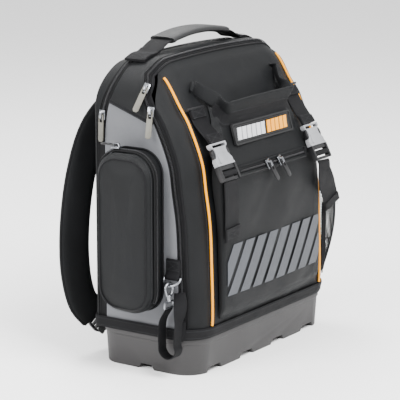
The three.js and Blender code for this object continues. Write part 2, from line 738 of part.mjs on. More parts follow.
// A place on the bag's right front corner, seen from above: how far round it, and which way is out.
function cornerPlace(along) {
  const turn = along / frontRadius;
  const centre = v3(halfWidth - frontRadius, frontFace + frontRadius, 0);
  if (turn > Math.PI / 2) {
    const past = along - (Math.PI / 2) * frontRadius;
    return { point: v3(halfWidth, centre.y + past, 0), out: v3(1, 0, 0) };
  }
  const out = v3(Math.sin(turn), -Math.cos(turn), 0);
  return { point: centre.addScaledVector(out, frontRadius), out };
}

// The bottle pocket's outside: t runs round the corner from front to back, and v from its foot up.
function bottleAt(t, v, stand = 0) {
  const { point, out } = cornerPlace(bottle.start + bottle.reach * t);
  const belly = Math.sin(Math.PI * t) ** 0.75 * Math.sin(Math.min(1, v * 1.15 + 0.05) * (Math.PI / 2)) ** 0.8;
  const shrink = v < 0.02 ? 0 : 1;
  const reach = bottle.wall + clear * 2 + bottle.bulge * belly * shrink + stand;
  const z = bottle.bottom + bottle.height * v;
  return v3(point.x + out.x * reach, point.y + out.y * reach, z);
}

function makeBottlePocket() {
  const stops = [];
  for (let i = 0; i < bottle.gaps; i += 1) stops.push(i, i + bottle.bar / 10);
  stops.push(bottle.gaps);
  const shares = stops.map((s) => s / bottle.gaps);
  const rows = shares.map((v) => shares.map((t) => bottleAt(mix(0, 1, t), v)));
  const isGap = (i, j) => i % 2 === 1 && j % 2 === 1;
  const within = v3(halfWidth - frontRadius, frontFace + frontRadius, bottle.bottom);
  addPiece("bottle_pocket", thicken(grid(rows, { skip: isGap }), bottle.wall, within), "net");
  const ts = Array.from({ length: 13 }, (_, i) => i / 12);
  const foot = 1 + (clear * 2) / bottle.height;
  const hemRows = [0, 0.5, 1].map((h) => {
    const v = foot + (bottleHem.height / bottle.height) * h;
    return ts.map((t) => bottleAt(t, v, (bottleHem.wall - bottle.wall) / 2));
  });
  addPiece("bottle_hem", thicken(grid(hemRows), bottleHem.wall, within), "webbing");
}

// A point on the arch of the body at a height on the left, with the way out of the panel there.
function archPlace(z) {
  const foot = bodyTop - archRadius;
  if (z <= foot) return { x: -halfWidth, out: v3(-1, 0, 0) };
  const rise = Math.min(1, (z - swell(-halfWidth + 20, z) - foot) / archRadius);
  const x = -halfWidth + archRadius * (1 - Math.sqrt(1 - rise ** 2));
  return { x, out: v3(-Math.sqrt(1 - rise ** 2), 0, rise) };
}

function makeHandle() {
  const under = strapThick / 2 + clear + 0.3;
  const onTop = (x) => {
    const slope = (archHeight(x + 1, 0) - archHeight(x - 1, 0)) / 2;
    const out = v3(-slope, 0, 1).normalize();
    const top = archHeight(x, 0);
    return v3(x, handle.y, top - fall(handle.y - strapWide / 2, top)).addScaledVector(out, under);
  };
  const { footHalf, footLength, gripHalf, rise } = handle;
  const top = archHeight(0, 0) + rise;
  const left = [onTop(-footHalf), onTop(-footHalf + footLength * 0.5), onTop(-footHalf + footLength)];
  left.push(v3(-gripHalf - 8, handle.y, top - 10), v3(-gripHalf / 2, handle.y, top - 2));
  const right = left.map((p) => v3(-p.x, p.y, p.z)).reverse();
  const path = curve([...left, v3(0, handle.y, top), ...right], 30);
  addPiece("top_handle", ribbon(path, v3(0, 1, 0), strapWide, strapThick), "webbing");

  const gripPath = path.filter((p) => Math.abs(p.x) < gripHalf);
  const rings = (out) =>
    gripPath.map((p, i) => {
      const ahead = gripPath[Math.min(i + 1, gripPath.length - 1)].clone().sub(gripPath[Math.max(i - 1, 0)]);
      const lift = v3(-ahead.z, 0, ahead.x).normalize();
      const [w, h] = [strapWide / 2 + clear + out, strapThick / 2 + clear + out];
      const corners = [[-w, -h * 0.5], [-w * 0.7, -h], [w * 0.7, -h], [w, -h * 0.5], [w, h * 0.5]];
      corners.push([w * 0.7, h], [-w * 0.7, h], [-w, h * 0.5]);
      if (out === 0) corners.forEach((c) => (c[0] = Math.sign(c[0]) * w));
      if (out === 0) corners.forEach((c) => (c[1] = Math.sign(c[1]) * h));
      return corners.map(([a, b]) => p.clone().add(v3(0, a, 0)).addScaledVector(lift, b));
    });
  const outer = rings(handle.gripWall);
  const inner = rings(0).reverse();
  addPiece("handle_grip", loft([...outer, ...inner], true), "rubber");
}

// The shoulder straps stand out behind the bag: side, behind and up are shares of halfWidth,
// of the straps' reach and of bodyTop, and turn is how far the strap's face turns, in degrees.
const shoulderForm = [
  { side: 0.29, behind: 0.17, up: 0.93, turn: 0 },
  { side: 0.35, behind: 0.235, up: 0.89, turn: 3 },
  { side: 0.5, behind: 0.5, up: 0.848, turn: 11 },
  { side: 0.7, behind: 0.8, up: 0.75, turn: 21 },
  { side: 0.84, behind: 0.91, up: 0.61, turn: 24 },
  { side: 0.915, behind: 0.95, up: 0.45, turn: 25 },
  { side: 0.93, behind: 0.92, up: 0.3, turn: 25 },
  { side: 0.88, behind: 0.82, up: 0.185, turn: 21 },
  { side: 0.76, behind: 0.7, up: 0.12, turn: 14 },
];

function makeShoulderStraps() {
  for (const [name, side] of sides) {
    const stations = shoulderForm.map(({ side: s, behind, up }) =>
      v3(side * halfWidth * s, backFace + shoulder.reach * behind, bodyTop * up),
    );
    const steps = 20;
    const path = curve(stations, steps);
    const across = path.map((_, i) => {
      const at = (i / steps) * (shoulderForm.length - 1);
      const k = Math.min(Math.floor(at), shoulderForm.length - 2);
      const turn = THREE.MathUtils.degToRad(mix(shoulderForm[k].turn, shoulderForm[k + 1].turn, at - k));
      return v3(side * Math.cos(turn), Math.sin(turn), 0);
    });
    addPiece(`shoulder_strap_${name}`, ribbon(path, across, shoulder.width, shoulder.thick), "pad");

    const end = path[path.length - 1];
    const last = end.clone().sub(path[path.length - 2]).normalize();
    const lock = new THREE.Group();
    lock.position.copy(end).addScaledVector(last, clear * 2.5 + adjuster.length / 2);
    const basis = new THREE.Matrix4();
    const width = across[across.length - 1].clone().normalize();
    width.addScaledVector(last, -width.dot(last)).normalize();
    basis.makeBasis(width, last, width.clone().cross(last));
    lock.quaternion.setFromRotationMatrix(basis);
    bag.add(lock);
    const [w, h] = [adjuster.width / 2, adjuster.length / 2];
    const lockOutline = mirrored([[w * 0.9, -h], [w, -h * 0.5], [w, h * 0.5], [w * 0.8, h]]);
    addPiece(`adjuster_${name}`, plate(lockOutline, adjuster.thick), "plastic", lock);

    const start = end.clone().addScaledVector(last, clear * 9 + adjuster.length);
    const anchorZ = baseHeight + bindingHeight + 18;
    const anchor = v3(side * (halfWidth - 30), backFace + strapThick + clear, anchorZ);
    const behindBinding = v3(side * (halfWidth - 40), backFace + bindingWall + 10, baseHeight);
    const curl = start.clone().addScaledVector(last, 7);
    const route = [start, curl, curl.clone().add(v3(side * 8, -7, 4)), behindBinding, anchor];
    const web = curve([...route, anchor.clone().add(v3(0, 0, 14))], 14);
    addPiece(`lower_web_${name}`, ribbon(web, v3(1, 0, 0), shoulder.web, strapThick), "webbing");
  }
}

// The webbing tab with its D-ring, and the hook and tether that hang from it
const ringBar = v3(-halfWidth - clear * 1.7 - ringTab.layer - dRing.wire, ringTab.y, ringTab.bend);
const ringDown = v3(-Math.sin(dRing.tilt), 0, -Math.cos(dRing.tilt));

function makeRingAndTab() {
  const round = dRing.wire + clear + ringTab.layer / 2;
  const inner = ringBar.x + round;
  const bend = Array.from({ length: 5 }, (_, i) => {
    const t = (i / 4) * Math.PI;
    return v3(ringBar.x + round * Math.cos(t), ringTab.y, ringBar.z - round * Math.sin(t));
  });
  const folded = inner - ringTab.layer - clear;
  const path = [v3(inner, ringTab.y, ringTab.top), ...bend];
  path.push(v3(folded, ringTab.y, ringTab.bend + 9), v3(folded, ringTab.y, ringTab.top));
  addPiece("ring_tab", ribbon(path, v3(0, 1, 0), strapNarrow, ringTab.layer), "webbing");

  const bow = Array.from({ length: 13 }, (_, i) => {
    const t = (i / 12) * Math.PI;
    const across = v3(0, dRing.half * Math.cos(t), 0);
    return ringBar.clone().add(across).addScaledVector(ringDown, dRing.drop * Math.sin(t) ** 0.85);
  });
  const bar = [-0.5, 0, 0.5].map((share) => ringBar.clone().add(v3(0, dRing.half * share, 0)));
  addPiece("d_ring", wire([...bow, ...bar], dRing.wire, { closed: true, sides: 6 }), "steel");
}

const ringLow = ringBar.clone().addScaledVector(ringDown, dRing.drop);
const hookCentre = ringLow.clone().add(v3(0, 0, -(hook.radius - hook.wire - dRing.wire - clear)));
const onHook = (degrees, radius = hook.radius) => {
  const t = THREE.MathUtils.degToRad(degrees);
  return v3(hookCentre.x + radius * Math.cos(t), hookCentre.y, hookCentre.z + radius * Math.sin(t));
};

function makeHook() {
  const arc = [];
  for (let degrees = -80; degrees <= hook.gateTo; degrees += 20) arc.push(onHook(degrees));
  const stemTop = hookCentre.clone().add(v3(0, 0, -hook.radius + hook.wire * 0.5));
  const eyeTop = stemTop.clone().add(v3(0, 0, -hook.barrel));
  const barrel = new THREE.CylinderGeometry(hook.barrelRadius, hook.barrelRadius, hook.barrel, 12);
  barrel.rotateX(Math.PI / 2).translate(stemTop.x, stemTop.y, stemTop.z - hook.barrel / 2);
  const heel = wire([onHook(-70), onHook(-84), onHook(-96)], hook.wire * 1.1);
  const { eyeHalf, eyeHeight } = hook;
  const level = [-eyeHalf, 0, eyeHalf];
  const frame = [...level.map((x) => [x, 0]), ...level.map((x) => [-x, -eyeHeight])];
  const around = frame.map(([x, z]) => eyeTop.clone().add(v3(x, 0, z)));
  const eye = wire(around, hook.wire * 0.7, { closed: true, sides: 6 });
  addPiece("snap_hook", join(wire(arc, hook.wire), heel, barrel, eye), "steel");
  const hinge = onHook(hook.gateFrom);
  const tip = onHook(hook.gateTo + 11);
  const gate = wire([hinge, mixed(hinge, tip, 0.5), tip], hook.wire * 0.7);
  addPiece("snap_gate", gate, "steel");
}

function makeTether() {
  const eyeZ = hookCentre.z - hook.radius + hook.wire * 0.5 - hook.barrel - hook.eyeHeight;
  const x = hookCentre.x;
  const { front, rear, low } = tether;
  const centreY = (front + rear) / 2;
  const half = (rear - front) / 2;
  const bottom = [150, 180, 210, 240, 270, 300, 330, 360].map((degrees) => {
    const t = THREE.MathUtils.degToRad(degrees);
    return v3(x, centreY + half * Math.cos(t), low + half + half * Math.sin(t));
  });
  const sewn = ringTab.bend - 22;
  const points = [v3(-halfWidth - strapThick - 1, front + 6, sewn), v3(x + 8, front + 2, sewn - 18)];
  points.push(v3(x, front, sewn - 45), ...bottom);
  points.push(v3(x, rear - 1, eyeZ - 24), v3(x, hookCentre.y, eyeZ - hook.wire));
  const path = curve(points, 34);
  const across = path.map((p, i) => (i < 8 ? mixed(v3(0, -1, 0), v3(1, 0, 0), i / 8) : v3(1, 0, 0)));
  addPiece("tether_strap", ribbon(path, across, tether.width, strapThick), "webbing");
}

// A zip slider with its bridge, and a puller whose link turns in that bridge.
// Each is drawn with out along +X, the zip tape along Z and the link's pin along Y.
function sliderShape() {
  const { length, width, plate: thick, bridge, bridgeWidth, bar } = slider;
  const base = new THREE.BoxGeometry(thick, width, length).translate(thick / 2, 0, 0);
  const shape = new THREE.Shape();
  const half = length * 0.42;
  const profile = [[0, -half], [bridge, -half * 0.7], [bridge, half * 0.7], [0, half], [0, half - bar * 1.6]];
  profile.push([bridge - bar, half * 0.45], [bridge - bar, -half * 0.45], [0, bar * 1.6 - half]);
  shape.setFromPoints(profile.map(([x, y]) => new THREE.Vector2(x + thick - 0.5, y)));
  const arched = new THREE.ExtrudeGeometry(shape, { depth: bridgeWidth, bevelEnabled: false });
  arched.rotateX(Math.PI / 2).translate(0, bridgeWidth / 2, 0);
  return join(base, arched);
}

const pinOut = slider.plate + (slider.bridge - slider.bar) / 2 - 0.2;

function pullerShape(length) {
  const { width, link, wire: radius } = puller;
  const w = width * 0.36;
  const foot = -link - length;
  const outline = [[w - radius, radius], [w + radius, -radius], [w + radius, radius * 2 - link]];
  outline.push([width / 2, -link], [width / 2, foot + 3], [width * 0.3, foot]);
  const opening = [[w - radius, -radius], [w - radius, radius - link]];
  const shape = new THREE.Shape(mirrored(outline).map(([x, y]) => new THREE.Vector2(x, y)));
  shape.holes.push(new THREE.Path(mirrored(opening).reverse().map(([x, y]) => new THREE.Vector2(x, y))));
  const flat = new THREE.ExtrudeGeometry(shape, { depth: radius * 2, bevelEnabled: false });
  return flat.translate(0, 0, -radius).rotateX(Math.PI / 2).rotateZ(Math.PI / 2);
}

// Puts a slider and its puller where a zip runs: out leaves the surface, and down is the way it hangs.
function addZipPull(name, place, out, down, { length = puller.tab, finishName = "greige" } = {}) {
  const along = down.clone().addScaledVector(out, -down.dot(out)).normalize().negate();
  const basis = new THREE.Matrix4().makeBasis(out, along.clone().cross(out), along);
  const seat = new THREE.Group();
  seat.position.copy(place).addScaledVector(out, clear);
  seat.quaternion.setFromRotationMatrix(basis);
  bag.add(seat);
  addPiece(`${name}_slider`, sliderShape(), "steel", seat);
  const hung = new THREE.Group();
  hung.position.x = pinOut;
  seat.add(hung);
  addPiece(`${name}_puller`, pullerShape(length), finishName, hung);
}

// A place on the main zip's left side, by height and by how far it is behind the zip's front edge.
function mainZipPlace(z, behind) {
  const { x, out } = archPlace(z);
  return v3(x, inZip({ x, z }) + behind, z).addScaledVector(out, -cornerInset(behind));
}

function makeZipPulls() {
  const middle = zipWidth / 2 + 1;
  for (const [name, z, sway] of [["main_zip_upper", 436, 0.3], ["main_zip_lower", 402, 0.02]]) {
    const along = mainZipPlace(z + 1, middle).sub(mainZipPlace(z - 1, middle));
    const across = mainZipPlace(z, middle + 1).sub(mainZipPlace(z, middle - 1));
    addZipPull(name, mainZipPlace(z, middle), along.cross(across).normalize(), v3(0, sway, -1));
  }
  const rearY = rearZipY({ z: rearZipStart }) + zipWidth / 2;
  const rear = archPlace(rearZipStart);
  addZipPull("rear_zip", v3(rear.x, rearY, rearZipStart), rear.out, v3(0, 0.03, -1));
  for (const [name, x] of [["front_zip_left", -20], ["front_zip_right", 14]]) {
    const y = pocketFrontY(x, welt.z) - welt.wall - clear * 3;
    const slope = (pocketFrontY(x, welt.z + 5) - pocketFrontY(x, welt.z - 5)) / 10;
    const black = { length: 18, finishName: "plastic" };
    addZipPull(name, v3(x, y, welt.z), v3(0, -1, slope).normalize(), v3(0.35, 0, -1), black);
  }
  const sideX = -halfWidth - sidePocket.seam - sidePocket.depth * 0.42 - sideZip.width / 2;
  const sideTop = sidePocket.top + sideZip.wall + 1.4;
  const small = { length: 16, finishName: "plastic" };
  addZipPull("side_zip", v3(sideX, 26, sideTop), v3(0, 0, 1), v3(0, 1, 0), small);
}

makeFrontPanel();
makeBodyBands();
makeBackPanel();
makeBase();
makePiping();
makeFrontPocket();
makeBuckles();
makePocketStraps();
makeSidePocket();
makeBottlePocket();
makeHandle();
makeShoulderStraps();
makeRingAndTab();
makeHook();
makeTether();
makeZipPulls();

export default bag;
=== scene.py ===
"""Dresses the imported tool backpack: smooth sewn shells, webbing, zips, buckles and a moulded base."""

from __future__ import annotations

import logging
import math
import json
from dataclasses import dataclass, field
from enum import Enum
from typing import Iterable, Sequence

import bmesh
import bpy
import numpy as np
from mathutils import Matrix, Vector

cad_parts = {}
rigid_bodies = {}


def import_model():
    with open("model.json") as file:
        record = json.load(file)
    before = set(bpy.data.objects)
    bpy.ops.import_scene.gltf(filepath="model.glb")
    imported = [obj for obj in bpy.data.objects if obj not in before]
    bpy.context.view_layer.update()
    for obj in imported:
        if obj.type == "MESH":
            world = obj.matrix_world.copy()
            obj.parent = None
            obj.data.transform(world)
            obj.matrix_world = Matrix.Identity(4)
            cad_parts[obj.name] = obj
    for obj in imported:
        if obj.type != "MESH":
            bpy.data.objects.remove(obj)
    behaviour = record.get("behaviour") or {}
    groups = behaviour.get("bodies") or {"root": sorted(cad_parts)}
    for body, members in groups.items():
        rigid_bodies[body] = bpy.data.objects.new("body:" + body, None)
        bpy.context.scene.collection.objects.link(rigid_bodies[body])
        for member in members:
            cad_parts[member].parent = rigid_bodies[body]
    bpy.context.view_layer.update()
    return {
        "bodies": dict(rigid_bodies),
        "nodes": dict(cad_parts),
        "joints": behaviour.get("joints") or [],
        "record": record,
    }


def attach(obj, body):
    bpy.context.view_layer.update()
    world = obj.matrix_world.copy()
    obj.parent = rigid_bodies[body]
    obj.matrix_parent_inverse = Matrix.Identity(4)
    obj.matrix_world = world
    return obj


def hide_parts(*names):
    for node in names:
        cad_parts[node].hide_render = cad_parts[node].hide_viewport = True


LOG = logging.getLogger("tool_backpack")
MM = 0.001
BAG = "bag"
Array = np.ndarray
Ring = Sequence[tuple[float, float]]
Piece = bpy.types.Object
Tree = bpy.types.NodeTree
Socket = bpy.types.NodeSocket
Material = bpy.types.Material


# Small numeric helpers. Lengths are millimetres until a mesh is made.


def vec(x: float, y: float, z: float) -> Array:
    """A point or direction."""
    return np.array([x, y, z], float)


RIGHT, BACK, UP = vec(1, 0, 0), vec(0, 1, 0), vec(0, 0, 1)


def unit(v: Array) -> Array:
    """Unit vectors along the last axis."""
    return v / np.maximum(np.linalg.norm(v, axis=-1, keepdims=True), 1e-9)


def smoothstep(value: Array, low: float, high: float) -> Array:
    """A smooth ramp from 0 at low to 1 at high."""
    t = np.clip((value - low) / (high - low), 0.0, 1.0)
    return t * t * (3.0 - 2.0 * t)


def bump(value: Array, centre: float, width: float) -> Array:
    """A soft hill of height 1 about a centre."""
    return np.exp(-(((value - centre) / width) ** 2))


def smooth_read(keys: Sequence[float], values: Sequence[float], at: Array) -> Array:
    """Reads a table between its rows with a smooth curve.

    Args:
        keys: The rising column.
        values: The column that is read.
        at: Where to read.

    Returns:
        The values there.
    """
    k, v = np.asarray(keys, float), np.asarray(values, float)
    slope = np.empty_like(v)
    slope[1:-1] = (v[2:] - v[:-2]) / (k[2:] - k[:-2])
    slope[0], slope[-1] = (v[1] - v[0]) / (k[1] - k[0]), (v[-1] - v[-2]) / (k[-1] - k[-2])
    at = np.clip(np.asarray(at, float), k[0], k[-1])
    i = np.clip(np.searchsorted(k, at, side="right") - 1, 0, len(k) - 2)
    span = k[i + 1] - k[i]
    t = (at - k[i]) / span
    t2, t3 = t * t, t * t * t
    start, end = v[i] * (2 * t3 - 3 * t2 + 1), v[i + 1] * (3 * t2 - 2 * t3)
    return start + end + span * (slope[i] * (t3 - 2 * t2 + t) + slope[i + 1] * (t3 - t2))


def resample(points: Sequence[Array], count: int) -> Array:
    """Evenly spaced points along a polyline."""
    p = np.asarray(points, float)
    run = np.concatenate([[0.0], np.cumsum(np.linalg.norm(np.diff(p, axis=0), axis=1))])
    at = np.linspace(0.0, run[-1], count)
    return np.stack([np.interp(at, run, p[:, k]) for k in range(3)], axis=1)


def spline(points: Sequence[Array], count: int) -> Array:
    """A smooth curve through a few points.

    Args:
        points: The points that it passes.
        count: How many points come back, evenly spaced.

    Returns:
        The curve's points.
    """
    p = np.asarray(points, float)
    run = np.concatenate([[0.0], np.cumsum(np.linalg.norm(np.diff(p, axis=0), axis=1) ** 0.5)])
    at = np.linspace(0.0, run[-1], count * 4)
    dense = np.stack([smooth_read(run, p[:, k], at) for k in range(3)], axis=1)
    return resample(dense, count)


def heading(path: Array) -> Array:
    """The direction of a path at each of its points."""
    return unit(np.gradient(path, axis=0))


def blunt(wave: Array, power: float) -> Array:
    """A wave with fuller shoulders, for the section of something padded."""
    return np.sign(wave) * np.abs(wave) ** power


def soften(points: Array, rounds: int) -> Array:
    """Rounds the corners of a polyline whose ends stay."""
    p = points.copy()
    for _ in range(rounds):
        p[1:-1] = 0.25 * p[:-2] + 0.5 * p[1:-1] + 0.25 * p[2:]
    return p


def crumple(points: Array, size: float, seed: int) -> Array:
    """A soft uneven field over space, about -1 to 1.

    Args:
        points: Where to read it, with x, y and z last.
        size: The usual distance between its hills.
        seed: Which field it is.

    Returns:
        Its value at each point.
    """
    rng = np.random.default_rng(seed)
    total = np.zeros(points.shape[:-1])
    warp = np.sin(points @ (unit(rng.normal(size=3)) * 2 * math.pi / (size * 2.3)) + rng.uniform(0, 6))
    for _ in range(6):
        wave = unit(rng.normal(size=3)) * 2 * math.pi / (size * rng.uniform(0.7, 1.6))
        total += np.sin(points @ wave + rng.uniform(0, 2 * math.pi) + warp * 1.4)
    return total / 3.2


def surface_normals(grid: Array, loop: bool = False) -> Array:
    """Normals of a grid of points, from its rows and columns."""
    if loop:
        wide = np.concatenate([grid[:, -1:], grid, grid[:, :1]], axis=1)
        across = (wide[:, 2:] - wide[:, :-2]) / 2
    else:
        across = np.gradient(grid, axis=1)
    return unit(np.cross(across, np.gradient(grid, axis=0)))


# Meshes


def linked(name: str, data: bpy.types.ID) -> Piece:
    """A new object in the scene."""
    obj = bpy.data.objects.new(name, data)
    bpy.context.scene.collection.objects.link(obj)
    return obj


def new_object(name: str, points: Array, faces: Iterable[Sequence[int]], uv: Array | None = None) -> Piece:
    """Makes a mesh object at the origin, smooth but for its sharp edges.

    Args:
        name: The piece's name.
        points: Vertices in millimetres.
        faces: Lists of vertex indices.
        uv: One pair per vertex, in millimetres over the surface.

    Returns:
        The new object.
    """
    mesh = bpy.data.meshes.new(name)
    mesh.from_pydata((np.asarray(points) * MM).tolist(), [], [list(map(int, f)) for f in faces])
    if uv is not None:
        layer = mesh.uv_layers.new(name="cloth")
        index = np.empty(len(mesh.loops), np.int32)
        mesh.loops.foreach_get("vertex_index", index)
        layer.data.foreach_set("uv", np.asarray(uv, np.float32)[index].ravel())
    obj = linked(name, mesh)
    shade(obj)
    return obj


def shade(obj: Piece, degrees: float = 42.0) -> None:
    """Smooth shading that keeps edges sharper than an angle."""
    obj.data.shade_smooth()
    obj.data.set_sharp_from_angle(angle=math.radians(degrees))


def measure(grid: Array) -> Array:
    """Distances over a grid, for a weave that follows it."""
    rows, cols = grid.shape[:2]
    u = np.zeros((rows, cols))
    v = np.zeros((rows, cols))
    u[:, 1:] = np.cumsum(np.linalg.norm(np.diff(grid, axis=1), axis=2), axis=1).mean(axis=0)[None]
    v[1:] = np.cumsum(np.linalg.norm(np.diff(grid, axis=0), axis=2), axis=0).mean(axis=1)[:, None]
    return np.stack([u, v], axis=2)


def shell(name: str, grid: Array, wall: float, inside: Array, loop: bool = False) -> Piece:
    """A closed cloth wall whose outside is a grid of points.

    Args:
        name: The piece's name.
        grid: Rows and columns of points on the outside.
        wall: How thick the wall is.
        inside: A place on the inner side.
        loop: Whether each row closes on itself.

    Returns:
        The piece.
    """
    rows, cols = grid.shape[:2]
    normals = surface_normals(grid, loop)
    point_end = float(np.ptp(grid[-1], axis=0).max()) < 0.01
    if point_end:
        normals[-1] = unit(normals[-2].mean(axis=0))
    flip = float(((grid - inside) * normals).sum()) < 0
    if flip:
        normals = -normals
    inner = grid - normals * wall
    points = np.concatenate([grid.reshape(-1, 3), inner.reshape(-1, 3)])
    count = rows * cols
    reach = cols if loop else cols - 1
    i, j = np.meshgrid(np.arange(rows - 1), np.arange(reach), indexing="ij")
    k = (j + 1) % cols
    here, above = i * cols, (i + 1) * cols
    quads = np.stack([here + j, here + k, above + k, above + j], axis=2).reshape(-1, 4)
    if flip:
        quads = quads[:, ::-1]
    faces = [*quads.tolist(), *(quads[:, ::-1] + count).tolist()]
    top, low = np.arange(cols), (rows - 1) * cols + np.arange(cols)
    borders = [(top, False)] if point_end else [(top, False), (low, True)]
    if not loop:
        side = np.arange(rows) * cols
        borders += [(side, True), (side + cols - 1, False)]
    for line, turn in borders:
        pairs = list(zip(line[:-1], line[1:]))
        if loop:
            pairs.append((line[-1], line[0]))
        for a, b in pairs:
            face = [b, a, a + count, b + count]
            faces.append(face[::-1] if turn != flip else face)
    flat = measure(grid).reshape(-1, 2)
    return new_object(name, points, faces, np.concatenate([flat, flat]))


def sweep(
    name: str, path: Array, side: Array, section: Array, closed: bool = False, scale: Array | None = None
) -> Piece:
    """A solid whose section follows a path.

    Args:
        name: The piece's name.
        path: Points along the middle.
        side: The direction of the section's first axis, for all of the path or point by point.
        section: Pairs of distances along the side and along the face, going round.
        closed: Whether the path meets its start.
        scale: A pair per point that widens or thins the section there.

    Returns:
        The piece.
    """
    n = len(path)
    if closed:
        ahead = np.roll(path, -1, axis=0) - np.roll(path, 1, axis=0)
    else:
        ahead = np.gradient(path, axis=0)
    ahead = unit(ahead)
    wide = np.broadcast_to(side, path.shape).copy()
    wide = unit(wide - ahead * (wide * ahead).sum(axis=1, keepdims=True))
    face = np.cross(wide, ahead)
    size = np.ones((n, 2)) if scale is None else scale
    rings = (
        path[:, None]
        + wide[:, None] * (section[None, :, :1] * size[:, None, :1])
        + face[:, None] * (section[None, :, 1:] * size[:, None, 1:])
    )
    m = len(section)
    rows = n if closed else n - 1
    faces = [
        [(i % n) * m + j, (i % n) * m + (j + 1) % m, ((i + 1) % n) * m + (j + 1) % m, ((i + 1) % n) * m + j]
        for i in range(rows)
        for j in range(m)
    ]
    if not closed:
        faces += [list(range(m))[::-1], [(n - 1) * m + j for j in range(m)]]
    run = np.concatenate([[0.0], np.cumsum(np.linalg.norm(np.diff(path, axis=0), axis=1))])
    around = np.concatenate([[0.0], np.cumsum(np.linalg.norm(np.diff(section, axis=0), axis=1))])
    uv = np.stack(np.meshgrid(around, run), axis=2).reshape(-1, 2)
    obj = new_object(name, rings.reshape(-1, 3), faces, uv)
    outwards(obj)
    return obj


def outwards(obj: Piece) -> None:
    """Turns every face of a closed piece outwards."""
    bm = bmesh.new()
    bm.from_mesh(obj.data)
    bmesh.ops.recalc_face_normals(bm, faces=bm.faces)
    bm.to_mesh(obj.data)
    bm.free()
    shade(obj)


def flat_section(width: float, thick: float, corner: float = 0.45) -> Array:
    """The outline of a woven strap: a thin bar with rounded edges."""
    w, t = width / 2, thick / 2
    inner = w - t * corner * 2
    across = np.linspace(-inner, inner, 7)
    top = [(x, t) for x in across[::-1]]
    low = [(x, -t) for x in across]
    return np.array([*low, (w, -t * 0.4), (w, t * 0.4), *top, (-w, t * 0.4), (-w, -t * 0.4)])


def round_section(radius: float, sides: int = 12, flat: float = 1.0) -> Array:
    """A round or flattened section."""
    t = np.linspace(0, 2 * math.pi, sides, endpoint=False)
    return np.stack([np.cos(t) * radius, np.sin(t) * radius * flat], axis=1)


def plate(name: str, outline: Ring, low: float, high: float, holes: Sequence[Ring] = ()) -> Piece:
    """A flat moulded part with holes through it, drawn on its own plane.

    Args:
        name: The piece's name.
        outline: Its outer edge, going round.
        low: Where its underside is.
        high: Where its top is.
        holes: Outlines of its windows.

    Returns:
        The piece, still lying on the XY plane.
    """
    curve = bpy.data.curves.new(name, "CURVE")
    curve.dimensions = "2D"
    curve.fill_mode = "BOTH"
    for ring in [outline, *holes]:
        line = curve.splines.new("POLY")
        line.points.add(len(ring) - 1)
        line.use_cyclic_u = True
        for point, (x, y) in zip(line.points, ring):
            point.co = (x * MM, y * MM, 0, 1)
    curve.extrude = (high - low) / 2 * MM
    obj = as_mesh(linked(name + "_drawn", curve), name)
    for vertex in obj.data.vertices:
        vertex.co.z += (low + high) / 2 * MM
    clean(obj)
    return obj


def as_mesh(source: Piece, name: str) -> Piece:
    """The evaluated shape of an object as a plain mesh in its place; the source goes."""
    bpy.context.view_layer.update()
    depsgraph = bpy.context.evaluated_depsgraph_get()
    mesh = bpy.data.meshes.new_from_object(source.evaluated_get(depsgraph))
    mesh.name = name
    bpy.data.objects.remove(source)
    return linked(name, mesh)


def clean(obj: Piece, merge: float = 0.01, flatten: bool = True) -> None:
    """Merges doubles, joins level faces of a moulding and turns faces outwards."""
    bm = bmesh.new()
    bm.from_mesh(obj.data)
    bmesh.ops.remove_doubles(bm, verts=bm.verts, dist=merge * MM)
    if flatten:
        bmesh.ops.dissolve_limit(bm, angle_limit=math.radians(1.0), verts=bm.verts, edges=bm.edges)
    bmesh.ops.recalc_face_normals(bm, faces=bm.faces)
    bm.to_mesh(obj.data)
    bm.free()


def bevelled(obj: Piece, width: float, segments: int = 2, degrees: float = 32.0) -> Piece:
    """Rounds the sharp edges of a piece and applies the result."""
    name = obj.name
    rounding = obj.modifiers.new("rounding", "BEVEL")
    rounding.width = width * MM
    rounding.segments = segments
    rounding.limit_method = "ANGLE"
    rounding.angle_limit = math.radians(degrees)
    rounding.use_clamp_overlap = True
    obj.name = name + "_source"
    done = as_mesh(obj, name)
    shade(done, 50.0)
    return done


def placed(obj: Piece, origin: Array, x: Array, y: Array, z: Array) -> Piece:
    """Moves a mesh from its own plane to a place given by three axes."""
    co = np.empty(len(obj.data.vertices) * 3)
    obj.data.vertices.foreach_get("co", co)
    local = co.reshape(-1, 3)
    world = origin * MM + local[:, :1] * x + local[:, 1:2] * y + local[:, 2:] * z
    obj.data.vertices.foreach_set("co", world.ravel())
    obj.data.update()
    return obj


def from_node(name: str, node: Piece, width: float, segments: int = 2) -> Piece:
    """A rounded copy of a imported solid, merged first because its triangles are loose.

    Args:
        name: The copy's name.
        node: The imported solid.
        width: How wide its edges are rounded, in millimetres.
        segments: Steps in the rounding.

    Returns:
        The new piece.
    """
    mesh = node.data.copy()
    mesh.materials.clear()
    obj = linked(name, mesh)
    clean(obj)
    return bevelled(obj, width, segments)


def joined(name: str, parts: Sequence[Piece]) -> Piece:
    """Several meshes as one piece that keeps each part's materials."""
    with bpy.context.temp_override(active_object=parts[0], selected_editable_objects=list(parts)):
        bpy.ops.object.join()
    parts[0].name = name
    return parts[0]


# Finishes


class Effect(Enum):
    """Shader groups that several finishes share."""

    WEAVE = "woven_cloth"
    RIBS = "ribbed_webbing"
    GRAIN = "moulded_grain"
    DUST = "dust_and_wear"


def wired(tree: Tree, kind: str, **inputs: object) -> bpy.types.Node:
    """Adds a node and feeds its inputs.

    Args:
        tree: Where the node goes.
        kind: Blender's name of its type.
        inputs: A socket or a value for each input, by its label with _ for a space.

    Returns:
        The node.
    """
    node = tree.nodes.new(kind)
    for label, value in inputs.items():
        socket = node.inputs[label.replace("_", " ")]
        if isinstance(value, Socket):
            tree.links.new(value, socket)
        else:
            socket.default_value = value
    return node


